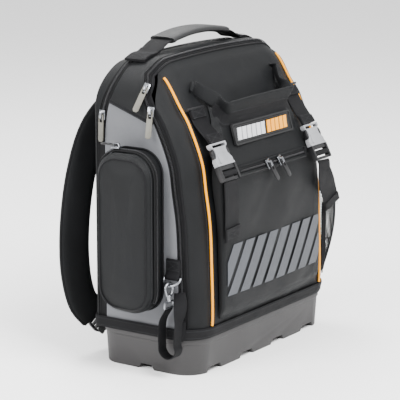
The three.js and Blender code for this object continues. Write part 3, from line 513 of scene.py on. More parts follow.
class ShaderKit:
    """Builds each shared effect once and places it in materials."""

    HEIGHT = ("Height", "NodeSocketFloat")

    def __init__(self) -> None:
        """Builds the groups."""
        self.groups = {
            Effect.WEAVE: self._weave(),
            Effect.RIBS: self._ribs(),
            Effect.GRAIN: self._grain(),
            Effect.DUST: self._dust(),
        }

    @staticmethod
    def _open(name: str, inputs: Sequence[tuple], outputs: Sequence[tuple]) -> tuple:
        """A new group with its sockets, its input node and its output node."""
        tree = bpy.data.node_groups.new(name, "ShaderNodeTree")
        for label, kind, default in inputs:
            socket = tree.interface.new_socket(name=label, in_out="INPUT", socket_type=kind)
            if kind == "NodeSocketFloat":
                socket.default_value = default
        for label, kind in outputs:
            tree.interface.new_socket(name=label, in_out="OUTPUT", socket_type=kind)
        return tree, tree.nodes.new("NodeGroupInput"), tree.nodes.new("NodeGroupOutput")

    @staticmethod
    def maths(tree: Tree, operation: str, first: object, second: object = None) -> Socket:
        """A math node on sockets or numbers.

        Args:
            tree: Where the node goes.
            operation: Blender's name of the operation.
            first: A socket or a number.
            second: A socket or a number.

        Returns:
            Its result.
        """
        node = tree.nodes.new("ShaderNodeMath")
        node.operation = operation
        for slot, value in enumerate([first, second]):
            if isinstance(value, Socket):
                tree.links.new(value, node.inputs[slot])
            elif value is not None:
                node.inputs[slot].default_value = float(value)
        return node.outputs[0]

    def _waves(self, tree: Tree, start: bpy.types.Node) -> tuple:
        """Sines along the two directions of the cloth, a pitch apart."""
        split = tree.nodes.new("ShaderNodeSeparateXYZ")
        tree.links.new(start.outputs["Cloth"], split.inputs[0])
        turns = self.maths(tree, "DIVIDE", 2 * math.pi, start.outputs["Pitch"])
        waves = []
        for axis in (0, 1):
            angle = self.maths(tree, "MULTIPLY", split.outputs[axis], turns)
            waves.append(self.maths(tree, "SINE", angle))
        return tuple(waves)

    @staticmethod
    def _cloth_inputs(pitch: float) -> list[tuple]:
        """What a woven effect asks for."""
        kind = "NodeSocketFloat"
        return [("Cloth", "NodeSocketVector", 0.0), ("Pitch", kind, pitch), ("Slub", kind, 0.3)]

    def _weave(self) -> Tree:
        """Plain weave: threads that go over and under, with slightly uneven yarn."""
        tree, start, end = self._open(Effect.WEAVE.value, self._cloth_inputs(1.0), [self.HEIGHT])
        warp, weft = self._waves(tree, start)
        crossing = self.maths(tree, "MULTIPLY", warp, weft)
        noise = wired(tree, "ShaderNodeTexNoise", Scale=0.35, Detail=3.0, Vector=start.outputs["Cloth"])
        uneven = self.maths(tree, "MULTIPLY", noise.outputs["Fac"], start.outputs["Slub"])
        half = self.maths(tree, "MULTIPLY", crossing, 0.5)
        tree.links.new(self.maths(tree, "ADD", half, uneven), end.inputs["Height"])
        return tree

    def _ribs(self) -> Tree:
        """Webbing: ribs across the strap and a chevron of finer threads between them."""
        tree, start, end = self._open(Effect.RIBS.value, self._cloth_inputs(2.0), [self.HEIGHT])
        across, along = self._waves(tree, start)
        lean = self.maths(tree, "MULTIPLY", self.maths(tree, "ADD", across, along), 0.35)
        rib = self.maths(tree, "MULTIPLY", self.maths(tree, "ABSOLUTE", along), 0.7)
        total = self.maths(tree, "ADD", rib, self.maths(tree, "MULTIPLY", lean, start.outputs["Slub"]))
        tree.links.new(total, end.inputs["Height"])
        return tree

    def _grain(self) -> Tree:
        """The fine pitted grain of a moulding."""
        inputs = [("Place", "NodeSocketVector", 0.0), ("Size", "NodeSocketFloat", 900.0)]
        tree, start, end = self._open(Effect.GRAIN.value, inputs, [self.HEIGHT])
        place, size = start.outputs["Place"], start.outputs["Size"]
        cells = wired(tree, "ShaderNodeTexVoronoi", Vector=place, Scale=size)
        noise = wired(tree, "ShaderNodeTexNoise", Vector=place, Scale=size, Detail=4.0)
        pits = self.maths(tree, "MULTIPLY", cells.outputs["Distance"], 0.7)
        tree.links.new(self.maths(tree, "ADD", pits, noise.outputs["Fac"]), end.inputs["Height"])
        return tree

    def _dust(self) -> Tree:
        """Two tones in soft patches, for handled cloth and scuffed plastic."""
        inputs = [
            ("Place", "NodeSocketVector", 0.0),
            ("Size", "NodeSocketFloat", 14.0),
            ("Amount", "NodeSocketFloat", 0.5),
            ("Dark", "NodeSocketColor", 0.0),
            ("Light", "NodeSocketColor", 0.0),
            ("Smooth", "NodeSocketFloat", 0.6),
            ("Rough", "NodeSocketFloat", 0.8),
        ]
        outputs = [("Color", "NodeSocketColor"), ("Roughness", "NodeSocketFloat")]
        tree, start, end = self._open(Effect.DUST.value, inputs, outputs)
        noise = wired(tree, "ShaderNodeTexNoise", Detail=6.0, Roughness=0.62, Vector=start.outputs["Place"])
        tree.links.new(start.outputs["Size"], noise.inputs["Scale"])
        spread = wired(tree, "ShaderNodeMapRange", From_Min=0.3, From_Max=0.72, Value=noise.outputs["Fac"])
        share = self.maths(tree, "MULTIPLY", spread.outputs["Result"], start.outputs["Amount"])
        tone = tree.nodes.new("ShaderNodeMix")
        tone.data_type = "RGBA"
        tree.links.new(share, tone.inputs["Factor"])
        tree.links.new(start.outputs["Dark"], tone.inputs["A"])
        tree.links.new(start.outputs["Light"], tone.inputs["B"])
        tree.links.new(tone.outputs["Result"], end.inputs["Color"])
        rough = tree.nodes.new("ShaderNodeMix")
        tree.links.new(share, rough.inputs["Factor"])
        tree.links.new(start.outputs["Smooth"], rough.inputs["A"])
        tree.links.new(start.outputs["Rough"], rough.inputs["B"])
        tree.links.new(rough.outputs["Result"], end.inputs["Roughness"])
        return tree

    def place(self, tree: Tree, effect: Effect) -> bpy.types.Node:
        """Puts an effect's group into a material."""
        node = tree.nodes.new("ShaderNodeGroup")
        node.node_tree = self.groups[effect]
        return node


def shade_of(code: str) -> tuple[float, float, float, float]:
    """A screen colour, such as 2e2f31, as Blender's linear colour."""
    parts = [int(code[k : k + 2], 16) / 255 for k in (0, 2, 4)]
    return (*[c / 12.92 if c <= 0.04045 else ((c + 0.055) / 1.055) ** 2.4 for c in parts], 1.0)


@dataclass(frozen=True)
class Finish:
    """One finish of the bag: its two tones, its surface and the effect in its relief."""

    name: str
    slot: str
    dark: str
    light: str
    effect: Effect = Effect.WEAVE
    pitch: float = 1.1
    relief: float = 0.25
    smooth: float = 0.62
    rough: float = 0.85
    patch: float = 14.0
    amount: float = 0.6
    metal: float = 0.0

    @property
    def gloss(self) -> float:
        """Cloth reflects less than a moulding."""
        return 0.4 if self.effect is Effect.GRAIN else 0.14

    def build(self, kit: ShaderKit) -> Material:
        """Makes the material.

        Args:
            kit: The shared effects.

        Returns:
            The material.
        """
        material = bpy.data.materials.new(self.name)
        material.use_nodes = True
        tree = material.node_tree
        surface = tree.nodes["Principled BSDF"]
        where = tree.nodes.new("ShaderNodeTexCoord")
        tones = kit.place(tree, Effect.DUST)
        values = {"Size": self.patch, "Amount": self.amount, "Smooth": self.smooth, "Rough": self.rough}
        values |= {"Dark": shade_of(self.dark), "Light": shade_of(self.light)}
        for label, value in values.items():
            tones.inputs[label].default_value = value
        tree.links.new(where.outputs["Object"], tones.inputs["Place"])
        relief = kit.place(tree, self.effect)
        if self.effect is Effect.GRAIN:
            tree.links.new(where.outputs["Object"], relief.inputs["Place"])
            relief.inputs["Size"].default_value = self.pitch
        else:
            tree.links.new(where.outputs["UV"], relief.inputs["Cloth"])
            relief.inputs["Pitch"].default_value = self.pitch
        height = relief.outputs["Height"]
        raised = wired(tree, "ShaderNodeBump", Strength=self.relief, Distance=0.0006, Height=height)
        tree.links.new(raised.outputs["Normal"], surface.inputs["Normal"])
        tree.links.new(tones.outputs["Color"], surface.inputs["Base Color"])
        tree.links.new(tones.outputs["Roughness"], surface.inputs["Roughness"])
        surface.inputs["Metallic"].default_value = self.metal
        surface.inputs["Specular IOR Level"].default_value = self.gloss
        return material


class Look(Enum):
    """Every finish on the bag."""

    NYLON = Finish("black_nylon", "nylon", "08090a", "121315", relief=0.35, smooth=0.48, rough=0.7)
    PADDED = Finish("padded_nylon", "nylon", "08090a", "111214", relief=0.4, pitch=1.4)
    PANEL = Finish("grey_nylon", "panel", "56575a", "66676a", relief=0.25, amount=0.7)
    WEBBING = Finish("ribbed_strap", "webbing", "08080a", "131315", Effect.RIBS, 2.2, 0.9, patch=40.0)
    TAPE = Finish("zip_tape", "zip", "070708", "101012", Effect.RIBS, 1.3, 0.7, patch=60.0)
    COIL = Finish("zip_coil", "zip", "1a1a1c", "2b2b2e", Effect.GRAIN, 600.0, 0.1, smooth=0.3, rough=0.45)
    PIPING = Finish(
        "amber_piping", "piping", "dd8e06", "eea51a", pitch=0.9, relief=0.4, smooth=0.5, rough=0.65
    )
    NET = Finish("net_yarn", "net", "070708", "101112", pitch=0.8, relief=0.3)
    AIR_MESH = Finish("spacer_mesh", "pad", "08090a", "131416", pitch=3.4, relief=1.0, patch=50.0)
    PAD = Finish("strap_cloth", "pad", "08090a", "121315", pitch=1.2, relief=0.35)
    BASE = Finish(
        "moulded_base", "base", "1f1e1e", "2b292a", Effect.GRAIN, 850.0, 0.3, 0.45, 0.65, 9.0, 0.8
    )
    PLASTIC = Finish(
        "black_plastic", "plastic", "08080a", "131315", Effect.GRAIN, 900.0, 0.1, 0.35, 0.55, 30.0
    )
    SILVER = Finish(
        "silver_plastic", "silver", "77787b", "929396", Effect.GRAIN, 900.0, 0.05, 0.3, 0.45, 25.0, 0.7
    )
    GREIGE = Finish(
        "pale_rubber", "greige", "4e4c45", "64625a", Effect.GRAIN, 1200.0, 0.1, 0.45, 0.65, 40.0, 0.7
    )
    STEEL = Finish(
        "plated_steel", "steel", "77797d", "96989c", Effect.GRAIN, 700.0, 0.05, 0.25, 0.4, 30.0, 0.6, 1.0
    )
    RUBBER = Finish(
        "handle_rubber", "rubber", "08090a", "141416", Effect.GRAIN, 700.0, 0.3, 0.5, 0.75, 20.0
    )
    THREAD = Finish("sewing_thread", "webbing", "1f2022", "303134", Effect.GRAIN, 900.0, 0.1)
    PRINT = Finish(
        "reflective_print", "nylon", "3c3e42", "4e5055", pitch=1.1, relief=0.3, smooth=0.35, rough=0.55
    )
    WHITE_MARK = Finish(
        "badge_white", "rubber", "aeb0b2", "c3c4c6", Effect.GRAIN, 900.0, 0.05, 0.35, 0.5, 30.0
    )
    AMBER_MARK = Finish(
        "badge_amber", "rubber", "dd8e06", "eaa018", Effect.GRAIN, 900.0, 0.05, 0.35, 0.5, 30.0
    )


class Wardrobe:
    """Holds the finished materials and puts them on pieces."""

    def __init__(self) -> None:
        """Builds every finish."""
        kit = ShaderKit()
        self.materials = {look: look.value.build(kit) for look in Look}

    def wear(self, obj: Piece, look: Look) -> Piece:
        """Gives a piece one finish."""
        obj.data.materials.clear()
        obj.data.materials.append(self.materials[look])
        return obj

    def settle(self, obj: Piece, look: Look, nodes: Sequence[str] = (), body: str = BAG) -> None:
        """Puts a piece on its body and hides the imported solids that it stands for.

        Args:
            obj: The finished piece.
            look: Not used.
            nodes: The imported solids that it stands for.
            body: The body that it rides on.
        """
        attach(obj, body)
        if nodes:
            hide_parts(*nodes)
        LOG.info("%s: %d faces, rides on %s", obj.name, len(obj.data.polygons), body)


# Geometry Nodes for what repeats along a path


class Repeat(Enum):
    """What is set out along a path."""

    STITCH = "stitches"
    COIL = "zip_coil"
    STRAND = "net_strands"


@dataclass(frozen=True)
class Laying:
    """A repeat's pitch, half a stitch's length or a coil's radius, and the thread's or wire's radius."""

    pitch: float
    length: float
    radius: float


class PathTree:
    """A node tree that sets small things out along curves, or gives the curves a round section."""

    def __init__(self, kind: Repeat) -> None:
        """Builds the tree for a kind of repeat."""
        self.kind = kind
        self.tree = bpy.data.node_groups.new(kind.value, "GeometryNodeTree")
        face = self.tree.interface
        face.new_socket(name="Geometry", in_out="INPUT", socket_type="NodeSocketGeometry")
        for label in ("Pitch", "Length", "Radius"):
            face.new_socket(name=label, in_out="INPUT", socket_type="NodeSocketFloat")
        face.new_socket(name="Material", in_out="INPUT", socket_type="NodeSocketMaterial")
        face.new_socket(name="Geometry", in_out="OUTPUT", socket_type="NodeSocketGeometry")
        self.start = self.tree.nodes.new("NodeGroupInput")
        self.end = self.tree.nodes.new("NodeGroupOutput")
        self._finish(self._strands() if kind is Repeat.STRAND else self._instances())

    def _node(self, kind: str, **inputs: object) -> bpy.types.Node:
        """A node of this tree, fed with sockets or values."""
        return wired(self.tree, kind, **inputs)

    def _ring(self, sides: int, radius: Socket) -> Socket:
        """A circle with a few sides."""
        ring = self._node("GeometryNodeCurvePrimitiveCircle", Resolution=sides, Radius=radius)
        return ring.outputs["Curve"]

    def _strands(self) -> Socket:
        """Gives every curve a thin round section."""
        ring, curve = self._ring(4, self.start.outputs["Radius"]), self.start.outputs["Geometry"]
        solid = self._node("GeometryNodeCurveToMesh", Fill_Caps=True, Curve=curve, Profile_Curve=ring)
        return solid.outputs["Mesh"]

    def _link_shape(self) -> Socket:
        """One turn of a zip's coil: a round link across the path."""
        ring = self._ring(8, self.start.outputs["Length"])
        wire = self._ring(4, self.start.outputs["Radius"])
        return self._node("GeometryNodeCurveToMesh", Curve=ring, Profile_Curve=wire).outputs["Mesh"]

    def _stitch_shape(self) -> Socket:
        """One stitch: a small rounded bar along the path."""
        given = self.start.outputs
        ball = self._node("GeometryNodeMeshIcoSphere", Subdivisions=1, Radius=1.0).outputs["Mesh"]
        size = self._node("ShaderNodeCombineXYZ", X=given["Radius"], Y=given["Radius"], Z=given["Length"])
        shape = self._node("GeometryNodeTransform", Geometry=ball, Scale=size.outputs["Vector"])
        return shape.outputs["Geometry"]

    def _instances(self) -> Socket:
        """Sets the small shape out at an even pitch, turned along the path."""
        even = self._node("GeometryNodeResampleCurve")
        even.mode = "LENGTH"
        self.tree.links.new(self.start.outputs["Geometry"], even.inputs["Curve"])
        self.tree.links.new(self.start.outputs["Pitch"], even.inputs["Length"])
        ahead = self._node("GeometryNodeInputTangent").outputs["Tangent"]
        turn = self._node("FunctionNodeAlignRotationToVector", Vector=ahead)
        turn.axis = "Z"
        shape = self._stitch_shape() if self.kind is Repeat.STITCH else self._link_shape()
        put = self._node("GeometryNodeInstanceOnPoints", Points=even.outputs["Curve"], Instance=shape)
        self.tree.links.new(turn.outputs["Rotation"], put.inputs["Rotation"])
        return put.outputs["Instances"]

    def _finish(self, result: Socket) -> None:
        """Realizes the instances, gives them their material and ends the tree."""
        real = self._node("GeometryNodeRealizeInstances", Geometry=result).outputs["Geometry"]
        dress = self._node("GeometryNodeSetMaterial", Geometry=real, Material=self.start.outputs["Material"])
        self.tree.links.new(dress.outputs["Geometry"], self.end.inputs["Geometry"])

    def lay(self, name: str, paths: Sequence[Array], material: Material, sizes: Laying) -> Piece:
        """Runs the tree on a set of paths.

        Args:
            name: The new piece's name.
            paths: Points of each path, in millimetres.
            material: What the result is made of.
            sizes: The repeat's sizes.

        Returns:
            A plain mesh object.
        """
        curve = bpy.data.curves.new(name + "_paths", "CURVE")
        curve.dimensions = "3D"
        for path in paths:
            line = curve.splines.new("POLY")
            line.points.add(len(path) - 1)
            co = np.ones((len(path), 4))
            co[:, :3] = np.asarray(path) * MM
            line.points.foreach_set("co", co.ravel())
        source = linked(name + "_paths", curve)
        laid = source.modifiers.new("laid", "NODES")
        laid.node_group = self.tree
        values = {"Pitch": sizes.pitch * MM, "Length": sizes.length * MM, "Radius": sizes.radius * MM}
        values["Material"] = material
        for item in self.tree.interface.items_tree:
            if item.item_type == "SOCKET" and item.in_out == "INPUT" and item.name in values:
                laid[item.identifier] = values[item.name]
        obj = as_mesh(source, name)
        obj.data.shade_smooth()
        return obj


# The bag's outline, the same as the part's


@dataclass
class Outline:
    """The body's driving sizes and the surfaces that follow from them."""

    half: float = 197.0
    front: float = -101.0
    back: float = 95.0
    base: float = 57.0
    top: float = 470.0
    crown: float = 9.0
    arch_radius: float = 74.0
    front_radius: float = 45.0
    back_radius: float = 30.0
    top_fall: float = 13.0
    fall_start: float = 10.0
    lean_depth: float = 97.0
    piping: float = 158.0
    clear: float = 0.3
    zip_width: float = 14.0
    zip_setback: float = 21.0
    zip_inset: float = 7.0
    rear_low: float = 68.0
    rear_high: float = 52.0
    rear_start: float = 390.0
    lean_up: tuple[float, ...] = (0, 0.065, 0.3, 0.446, 0.566, 0.674, 0.81, 0.88, 0.965, 1)
    lean: tuple[float, ...] = (0.05, 0, 0.02, 0.05, 0.124, 0.196, 0.433, 0.62, 0.845, 1)

    def swell(self, x: Array, z: Array) -> Array:
        """How far the top stands above a level arch."""
        rise = np.clip((z - (self.top - self.arch_radius)) / self.arch_radius, 0, 1)
        return self.crown * rise * (1 - (x / self.half) ** 2)

    def fall(self, y: Array, z: Array) -> Array:
        """How far the top has dropped towards the back."""
        rise = smoothstep(z, self.top - self.arch_radius, self.top)
        share = np.clip((y - self.fall_start) / (self.back - self.fall_start), 0, 1)
        return self.top_fall * rise * share**1.5

    def arch(self, u: Array, inset: Array) -> tuple[Array, Array]:
        """The arch seen from the front.

        Args:
            u: 0 at the left foot, 1 to 2 round the left corner, 4 to 5 round the right, 6 at the right foot.
            inset: How far it is drawn in.

        Returns:
            Places across and up.
        """
        u, inset = np.broadcast_arrays(np.asarray(u, float), np.asarray(inset, float))
        w = np.minimum(u, 6 - u)
        half, high, radius = self.half - inset, self.top - inset, self.arch_radius - inset
        foot = self.base + self.clear
        t = np.clip(w - 1, 0, 1) * math.pi / 2
        x = -half + radius * (1 - np.cos(t))
        spring = high - radius
        z = np.where(w < 1, foot + (spring - foot) * np.clip(w, 0, 1), spring + radius * np.sin(t))
        x = np.where(w > 2, -(half - radius) * (3 - w), x)
        z = np.where(w > 2, high, z)
        x = np.where(u > 3, -x, x)
        return x, z + self.swell(x, z)

    def arch_height(self, x: Array, inset: float) -> Array:
        """How high the arch is above a place across the bag."""
        radius = self.arch_radius - inset
        over = np.maximum(0, np.abs(x) - (self.half - self.arch_radius))
        z = self.top - inset - radius + np.sqrt(np.maximum(0, radius**2 - over**2))
        return z + self.swell(np.asarray(x, float), z)

    def front_y(self, x: Array, z: Array) -> Array:
        """The front panel's outside."""
        over = np.clip(np.abs(x) - (self.half - self.front_radius), 0, self.front_radius - self.zip_inset)
        drop = self.front_radius - np.sqrt(self.front_radius**2 - over**2)
        top = self.arch_height(np.minimum(np.abs(x), self.piping), self.zip_inset)
        up = (z - self.base) / (top - self.base)
        return self.front + smooth_read(self.lean_up, self.lean, up) * self.lean_depth + drop

    def zip_y(self, x: Array, z: Array) -> Array:
        """The front edge of the main zip."""
        reach = self.half - self.zip_inset
        return self.front_y(np.clip(x, -reach, reach), z)

    def rear_y(self, z: Array) -> Array:
        """The front edge of the rear zip."""
        share = smoothstep(z, self.rear_start - 40, self.top)
        return self.rear_low + (self.rear_high - self.rear_low) * share

    def corner_inset(self, behind: Array) -> Array:
        """How far the body's corner has fallen in at a distance behind the main zip."""
        left = np.maximum(0, self.front_radius - self.zip_setback - behind)
        return self.front_radius - np.sqrt(self.front_radius**2 - left**2)

    def on_side(self, u: Array, y: Array, out: float = 0.0) -> Array:
        """Points on the band around the body, raised off it by a distance."""
        x0, z0 = self.arch(u, 0.0)
        inset = self.corner_inset(np.maximum(0, y - self.zip_y(x0, z0))) - out
        x, z = self.arch(u, inset)
        return np.stack([x, y + 0 * x, z - self.fall(y, z)], axis=-1)

    @property
    def middle(self) -> Array:
        """A place inside the bag."""
        return vec(0, 0, self.top / 2)


class Sewing:
    """Collects every seam and lays its stitches in one go."""

    def __init__(self) -> None:
        """Starts with no seams."""
        self.seams: list[Array] = []

    def add(self, path: Array) -> None:
        """Adds one seam."""
        self.seams.append(np.asarray(path))

    def box(self, centre: Array, side: Array, up: Array, wide: float, high: float, out: Array) -> None:
        """Adds a crossed box of stitches.

        Args:
            centre: Its middle.
            side: Its direction across.
            up: Its direction up.
            wide: Its width.
            high: Its height.
            out: The way that the cloth faces.
        """
        ways = ((-1, -1), (1, -1), (1, 1), (-1, 1))
        corner = [centre + side * (a * wide / 2) + up * (b * high / 2) + out * 0.1 for a, b in ways]
        self.add(resample([*corner, corner[0]], 40))
        self.add(resample([corner[0], corner[2]], 12))
        self.add(resample([corner[1], corner[3]], 12))


@dataclass
class Workshop:
    """What every sub-assembly works with."""

    nodes: dict[str, Piece]
    wardrobe: Wardrobe
    outline: Outline
    sewing: Sewing
    stitch: PathTree
    coil: PathTree
    strand: PathTree

    def finish(self, obj: Piece, look: Look, nodes: Sequence[str] = (), body: str = BAG) -> Piece:
        """Gives a piece its finish and its place."""
        self.wardrobe.wear(obj, look)
        self.wardrobe.settle(obj, look, nodes, body)
        return obj

    def laid(
        self, tree: PathTree, name: str, paths: Sequence[Array], look: Look, sizes: Laying, *nodes: str
    ) -> None:
        """Lays small repeats along paths.

        Args:
            tree: What is laid.
            name: The piece's name.
            paths: Where it is laid.
            look: Its finish.
            sizes: The repeat's sizes.
            nodes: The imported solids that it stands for.
        """
        obj = tree.lay(name, paths, self.wardrobe.materials[look], sizes)
        self.wardrobe.settle(obj, look, nodes)

    def zip_coil(self, name: str, path: Array, radius: float = 1.5) -> None:
        """Lays a zip's coil along a path."""
        self.laid(self.coil, name, [path], Look.COIL, Laying(1.9, radius, 0.5))


@dataclass
class Part:
    """A sub-assembly and the workshop that it is made in."""

    shop: Workshop

    @property
    def outline(self) -> Outline:
        """The bag's form."""
        return self.shop.outline

    def sew(self, path: Array) -> None:
        """Adds one seam."""
        self.shop.sewing.add(path)

    def finish(self, obj: Piece, look: Look, *nodes: str) -> None:
        """Gives a piece its finish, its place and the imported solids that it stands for."""
        self.shop.finish(obj, look, nodes)

    def tape(self, name: str, path: Array, side: Array, wide: float, thick: float, *nodes: str) -> None:
        """Lays a strip of webbing along a path.

        Args:
            name: The piece's name.
            path: Points along its middle.
            side: The direction of its width.
            wide: Its width.
            thick: Its thickness.
            nodes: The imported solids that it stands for.
        """
        self.finish(sweep(name, path, side, flat_section(wide, thick)), Look.WEBBING, *nodes)


@dataclass
class Body(Part):
    """The arched body: its front, its zips, the band around it and its back."""

    wall: float = 3.0
    band_wall: float = 2.2
    grey_top: float = 392.3
    grey_rise: float = 0.345

    def build(self) -> None:
        """Builds every piece of the body."""
        self.front()
        self.zips()
        self.band()
        self.rear()

    def front(self) -> None:
        """The front panel, softly creased above the pocket and pinched along its piping."""
        o = self.outline
        u = np.linspace(1, 5, 150)
        x, top = o.arch(u, o.zip_inset)
        t = np.sin(np.linspace(0, 1, 110) * math.pi / 2) ** 0.85
        foot = o.base + o.clear
        z = foot + (top[None] - foot) * t[:, None]
        xs = np.broadcast_to(x, z.shape)
        grid = np.stack([xs, o.front_y(xs, z), z], axis=2)
        normals = surface_normals(grid)
        normals *= np.sign(-normals[..., 1].mean())
        edge = np.minimum(1, (1 - t)[:, None] * 9) * np.minimum(1, (190 - np.abs(xs)) / 14)
        high = smoothstep(z, 330, 400)
        low = smoothstep(-z, -330, -250)
        creases = crumple(grid * vec(1, 1, 1.7), 95, 3) * 1.5 * high + crumple(grid, 48, 8) * 0.5 * high
        creases += crumple(grid * vec(1.5, 1, 0.45), 60, 5) * 0.7 * low
        pinch = -1.1 * bump(np.abs(xs), o.piping + 4.5, 3.0) - 0.8 * bump(np.abs(xs), o.piping - 4.5, 3.0)
        grid += normals * (creases * edge + pinch * np.minimum(1, edge * 2))[..., None]
        panel = shell("front_cloth", grid, self.wall, o.middle)
        self.finish(panel, Look.NYLON, "front_panel")

    def zips(self) -> None:
        """The two long zips: a ribbed tape with raised edges, and a coil down its middle."""
        o = self.outline
        u = np.linspace(0, 6, 420)
        x, z = o.arch(u, 0)
        start, end = self.wall + o.clear, o.zip_width - 1.1
        t = np.linspace(0, 1, 17)[:, None]
        behind = start + (end - start) * t
        lip = 0.9 * (bump(t, 0.1, 0.09) + bump(t, 0.9, 0.09)) - 0.3
        grid = o.on_side(u[None], o.zip_y(x, z)[None] + behind)
        grid += self._facing(grid) * lip[..., None]
        self.finish(shell("main_zip_tape", grid, self.band_wall, o.middle), Look.TAPE, "main_zip")
        coil = o.on_side(u, o.zip_y(x, z) + (start + end) / 2, 0.7)
        self.shop.zip_coil("main_zip_coil", coil)
        edge = o.on_side(u, o.zip_y(x, z) + 1.6, -0.9)
        self.tape("panel_edge_binding", edge, BACK, 6.4, 3.2)
        for name, low in (("left", 0.0), ("right", 5.91)):
            part = np.linspace(low, low + 0.09, 14)
            x_end, z_end = o.arch(part, 0)
            line = o.on_side(part, o.zip_y(x_end, z_end) + (start + end) / 2 + 1, 1.3)
            self.tape(f"zip_end_patch_{name}", line, BACK, 17.0, 1.8)

        behind = 0.3 + (o.zip_width - 1.4) * t
        grid = o.on_side(u[None], o.rear_y(z)[None] + behind)
        grid += self._facing(grid) * lip[..., None]
        self.finish(shell("rear_zip_tape", grid, self.band_wall, o.middle), Look.TAPE, "rear_zip")
        open_part = np.linspace(0.93, 5.07, 360)
        _, z = o.arch(open_part, 0)
        self.shop.zip_coil("rear_zip_coil", o.on_side(open_part, o.rear_y(z) + o.zip_width / 2, 0.7))

    def _facing(self, grid: Array) -> Array:
        """Normals of a band that point out of the bag."""
        normals = surface_normals(grid)
        if float(((grid - self.outline.middle) * normals).sum()) < 0:
            normals = -normals
        return normals

    def _edge_u(self, share: Array) -> Array:
        """Where the grey side cloth ends under the black top, as a place round the arch.

        Args:
            share: How far back in the band, from 0 to 1.

        Returns:
            The place on the left side.
        """
        o = self.outline
        u = np.linspace(0.6, 2.0, 400)
        x, z = o.arch(u, 0)
        found = []
        for s in share:
            front = o.zip_y(x, z) + o.zip_width
            y = front + (o.rear_y(z) - front) * s
            found.append(np.interp(0.0, z - (self.grey_top + self.grey_rise * y), u))
        return np.array(found)

    def band(self) -> None:
        """The band between the zips: grey at the sides, black over the top, with a bound seam between."""
        o = self.outline
        share = np.linspace(0, 1, 40)
        edge = self._edge_u(share)[:, None]
        s = np.linspace(0, 1, 90)[None]
        parts = []
        pieces = [
            ("side_cloth_left", edge * s, Look.PANEL),
            ("top_cloth", edge + (6 - 2 * edge) * np.linspace(0, 1, 170)[None], Look.NYLON),
            ("side_cloth_right", 6 - edge + edge * s, Look.PANEL),
        ]
        for name, u, look in pieces:
            grid = self._band_grid(u, share[:, None])
            soft = np.minimum(1, np.minimum(share, 1 - share) * 8)[:, None]
            grid += self._facing(grid) * (crumple(grid, 70, 12) * 0.6 * soft)[..., None]
            part = shell(name, grid, self.wall, o.middle)
            self.shop.wardrobe.wear(part, look)
            parts.append(part)
        whole = joined("side_band", parts)
        self.shop.wardrobe.settle(whole, Look.PANEL, ["main_gusset"])
        for name, place in (("left", edge[:, 0]), ("right", 6 - edge[:, 0])):
            line = self._band_grid(place[:, None], share[:, None])[:, 0]
            out = unit(line * vec(1, 0, 1) - vec(0, 0, 300))
            across = np.cross(heading(line), out)
            self.tape(f"band_seam_{name}", line + out * 0.7, across, 7, 1.2)
            for shift in (-2.2, 2.2):
                self.sew(line[1:-1] + out[1:-1] * 1.4 + across[1:-1] * shift)

    def _band_grid(self, u: Array, share: Array) -> Array:
        """Points on the band at places round it and back."""
        o = self.outline
        x, z = o.arch(u, 0)
        front = o.zip_y(x, z) + o.zip_width
        return o.on_side(u, front + (o.rear_y(z) - o.clear - front) * share)

    def rear(self) -> None:
        """The back panel, rounded into the sides, with three padded channels of spacer mesh."""
        o = self.outline
        u = np.linspace(0, 6, 400)
        x0, z0 = o.arch(u, 0)
        rim = o.rear_y(z0) + o.zip_width
        start = np.maximum(rim, o.rear_low + o.zip_width) + 1
        rows = [np.stack([x0, rim, z0 - o.fall(rim, z0)], axis=1)]
        for share in np.linspace(0, 1, 9):
            t = share * math.pi / 2
            x, z = o.arch(u, o.back_radius * (1 - math.cos(t)))
            y = start + (o.back - start) * math.sin(t)
            rows.append(np.stack([x, y, z - o.fall(y, z0)], axis=1))
        last = rows[-1]
        centre = vec(0, o.back, o.base + o.clear)
        for s in np.linspace(1, 0.0, 120)[1:]:
            row = centre + (last - centre) * s
            row[:, 1] = o.back
            rows.append(row)
        grid = np.array(rows)
        x, z = grid[..., 0], grid[..., 2]
        flat = smoothstep(grid[..., 1], o.back - 2, o.back - 0.1)
        def pad(cx: float, cz: float, w: float, h: float) -> Array:
            """A soft rectangular pad."""
            a = smoothstep(-np.abs(x - cx), -w, -w + 14)
            return a * smoothstep(-np.abs(z - cz), -h, -h + 16)
        pads = pad(-78, 250, 50, 112) + pad(78, 250, 50, 112)
        pads = pads + pad(0, 103, 130, 28) + pad(0, 395, 44, 24) * 0.5
        seams = np.abs(np.mod(z + 12, 46) - 23)
        grid[..., 1] += flat * pads * (7.0 - 2.6 * bump(seams, 0, 5.0))
        panel = shell("back_cloth", grid, self.wall, o.middle)
        clean(panel, 0.02, flatten=False)
        shade(panel)
        self.finish(panel, Look.AIR_MESH, "back_panel")


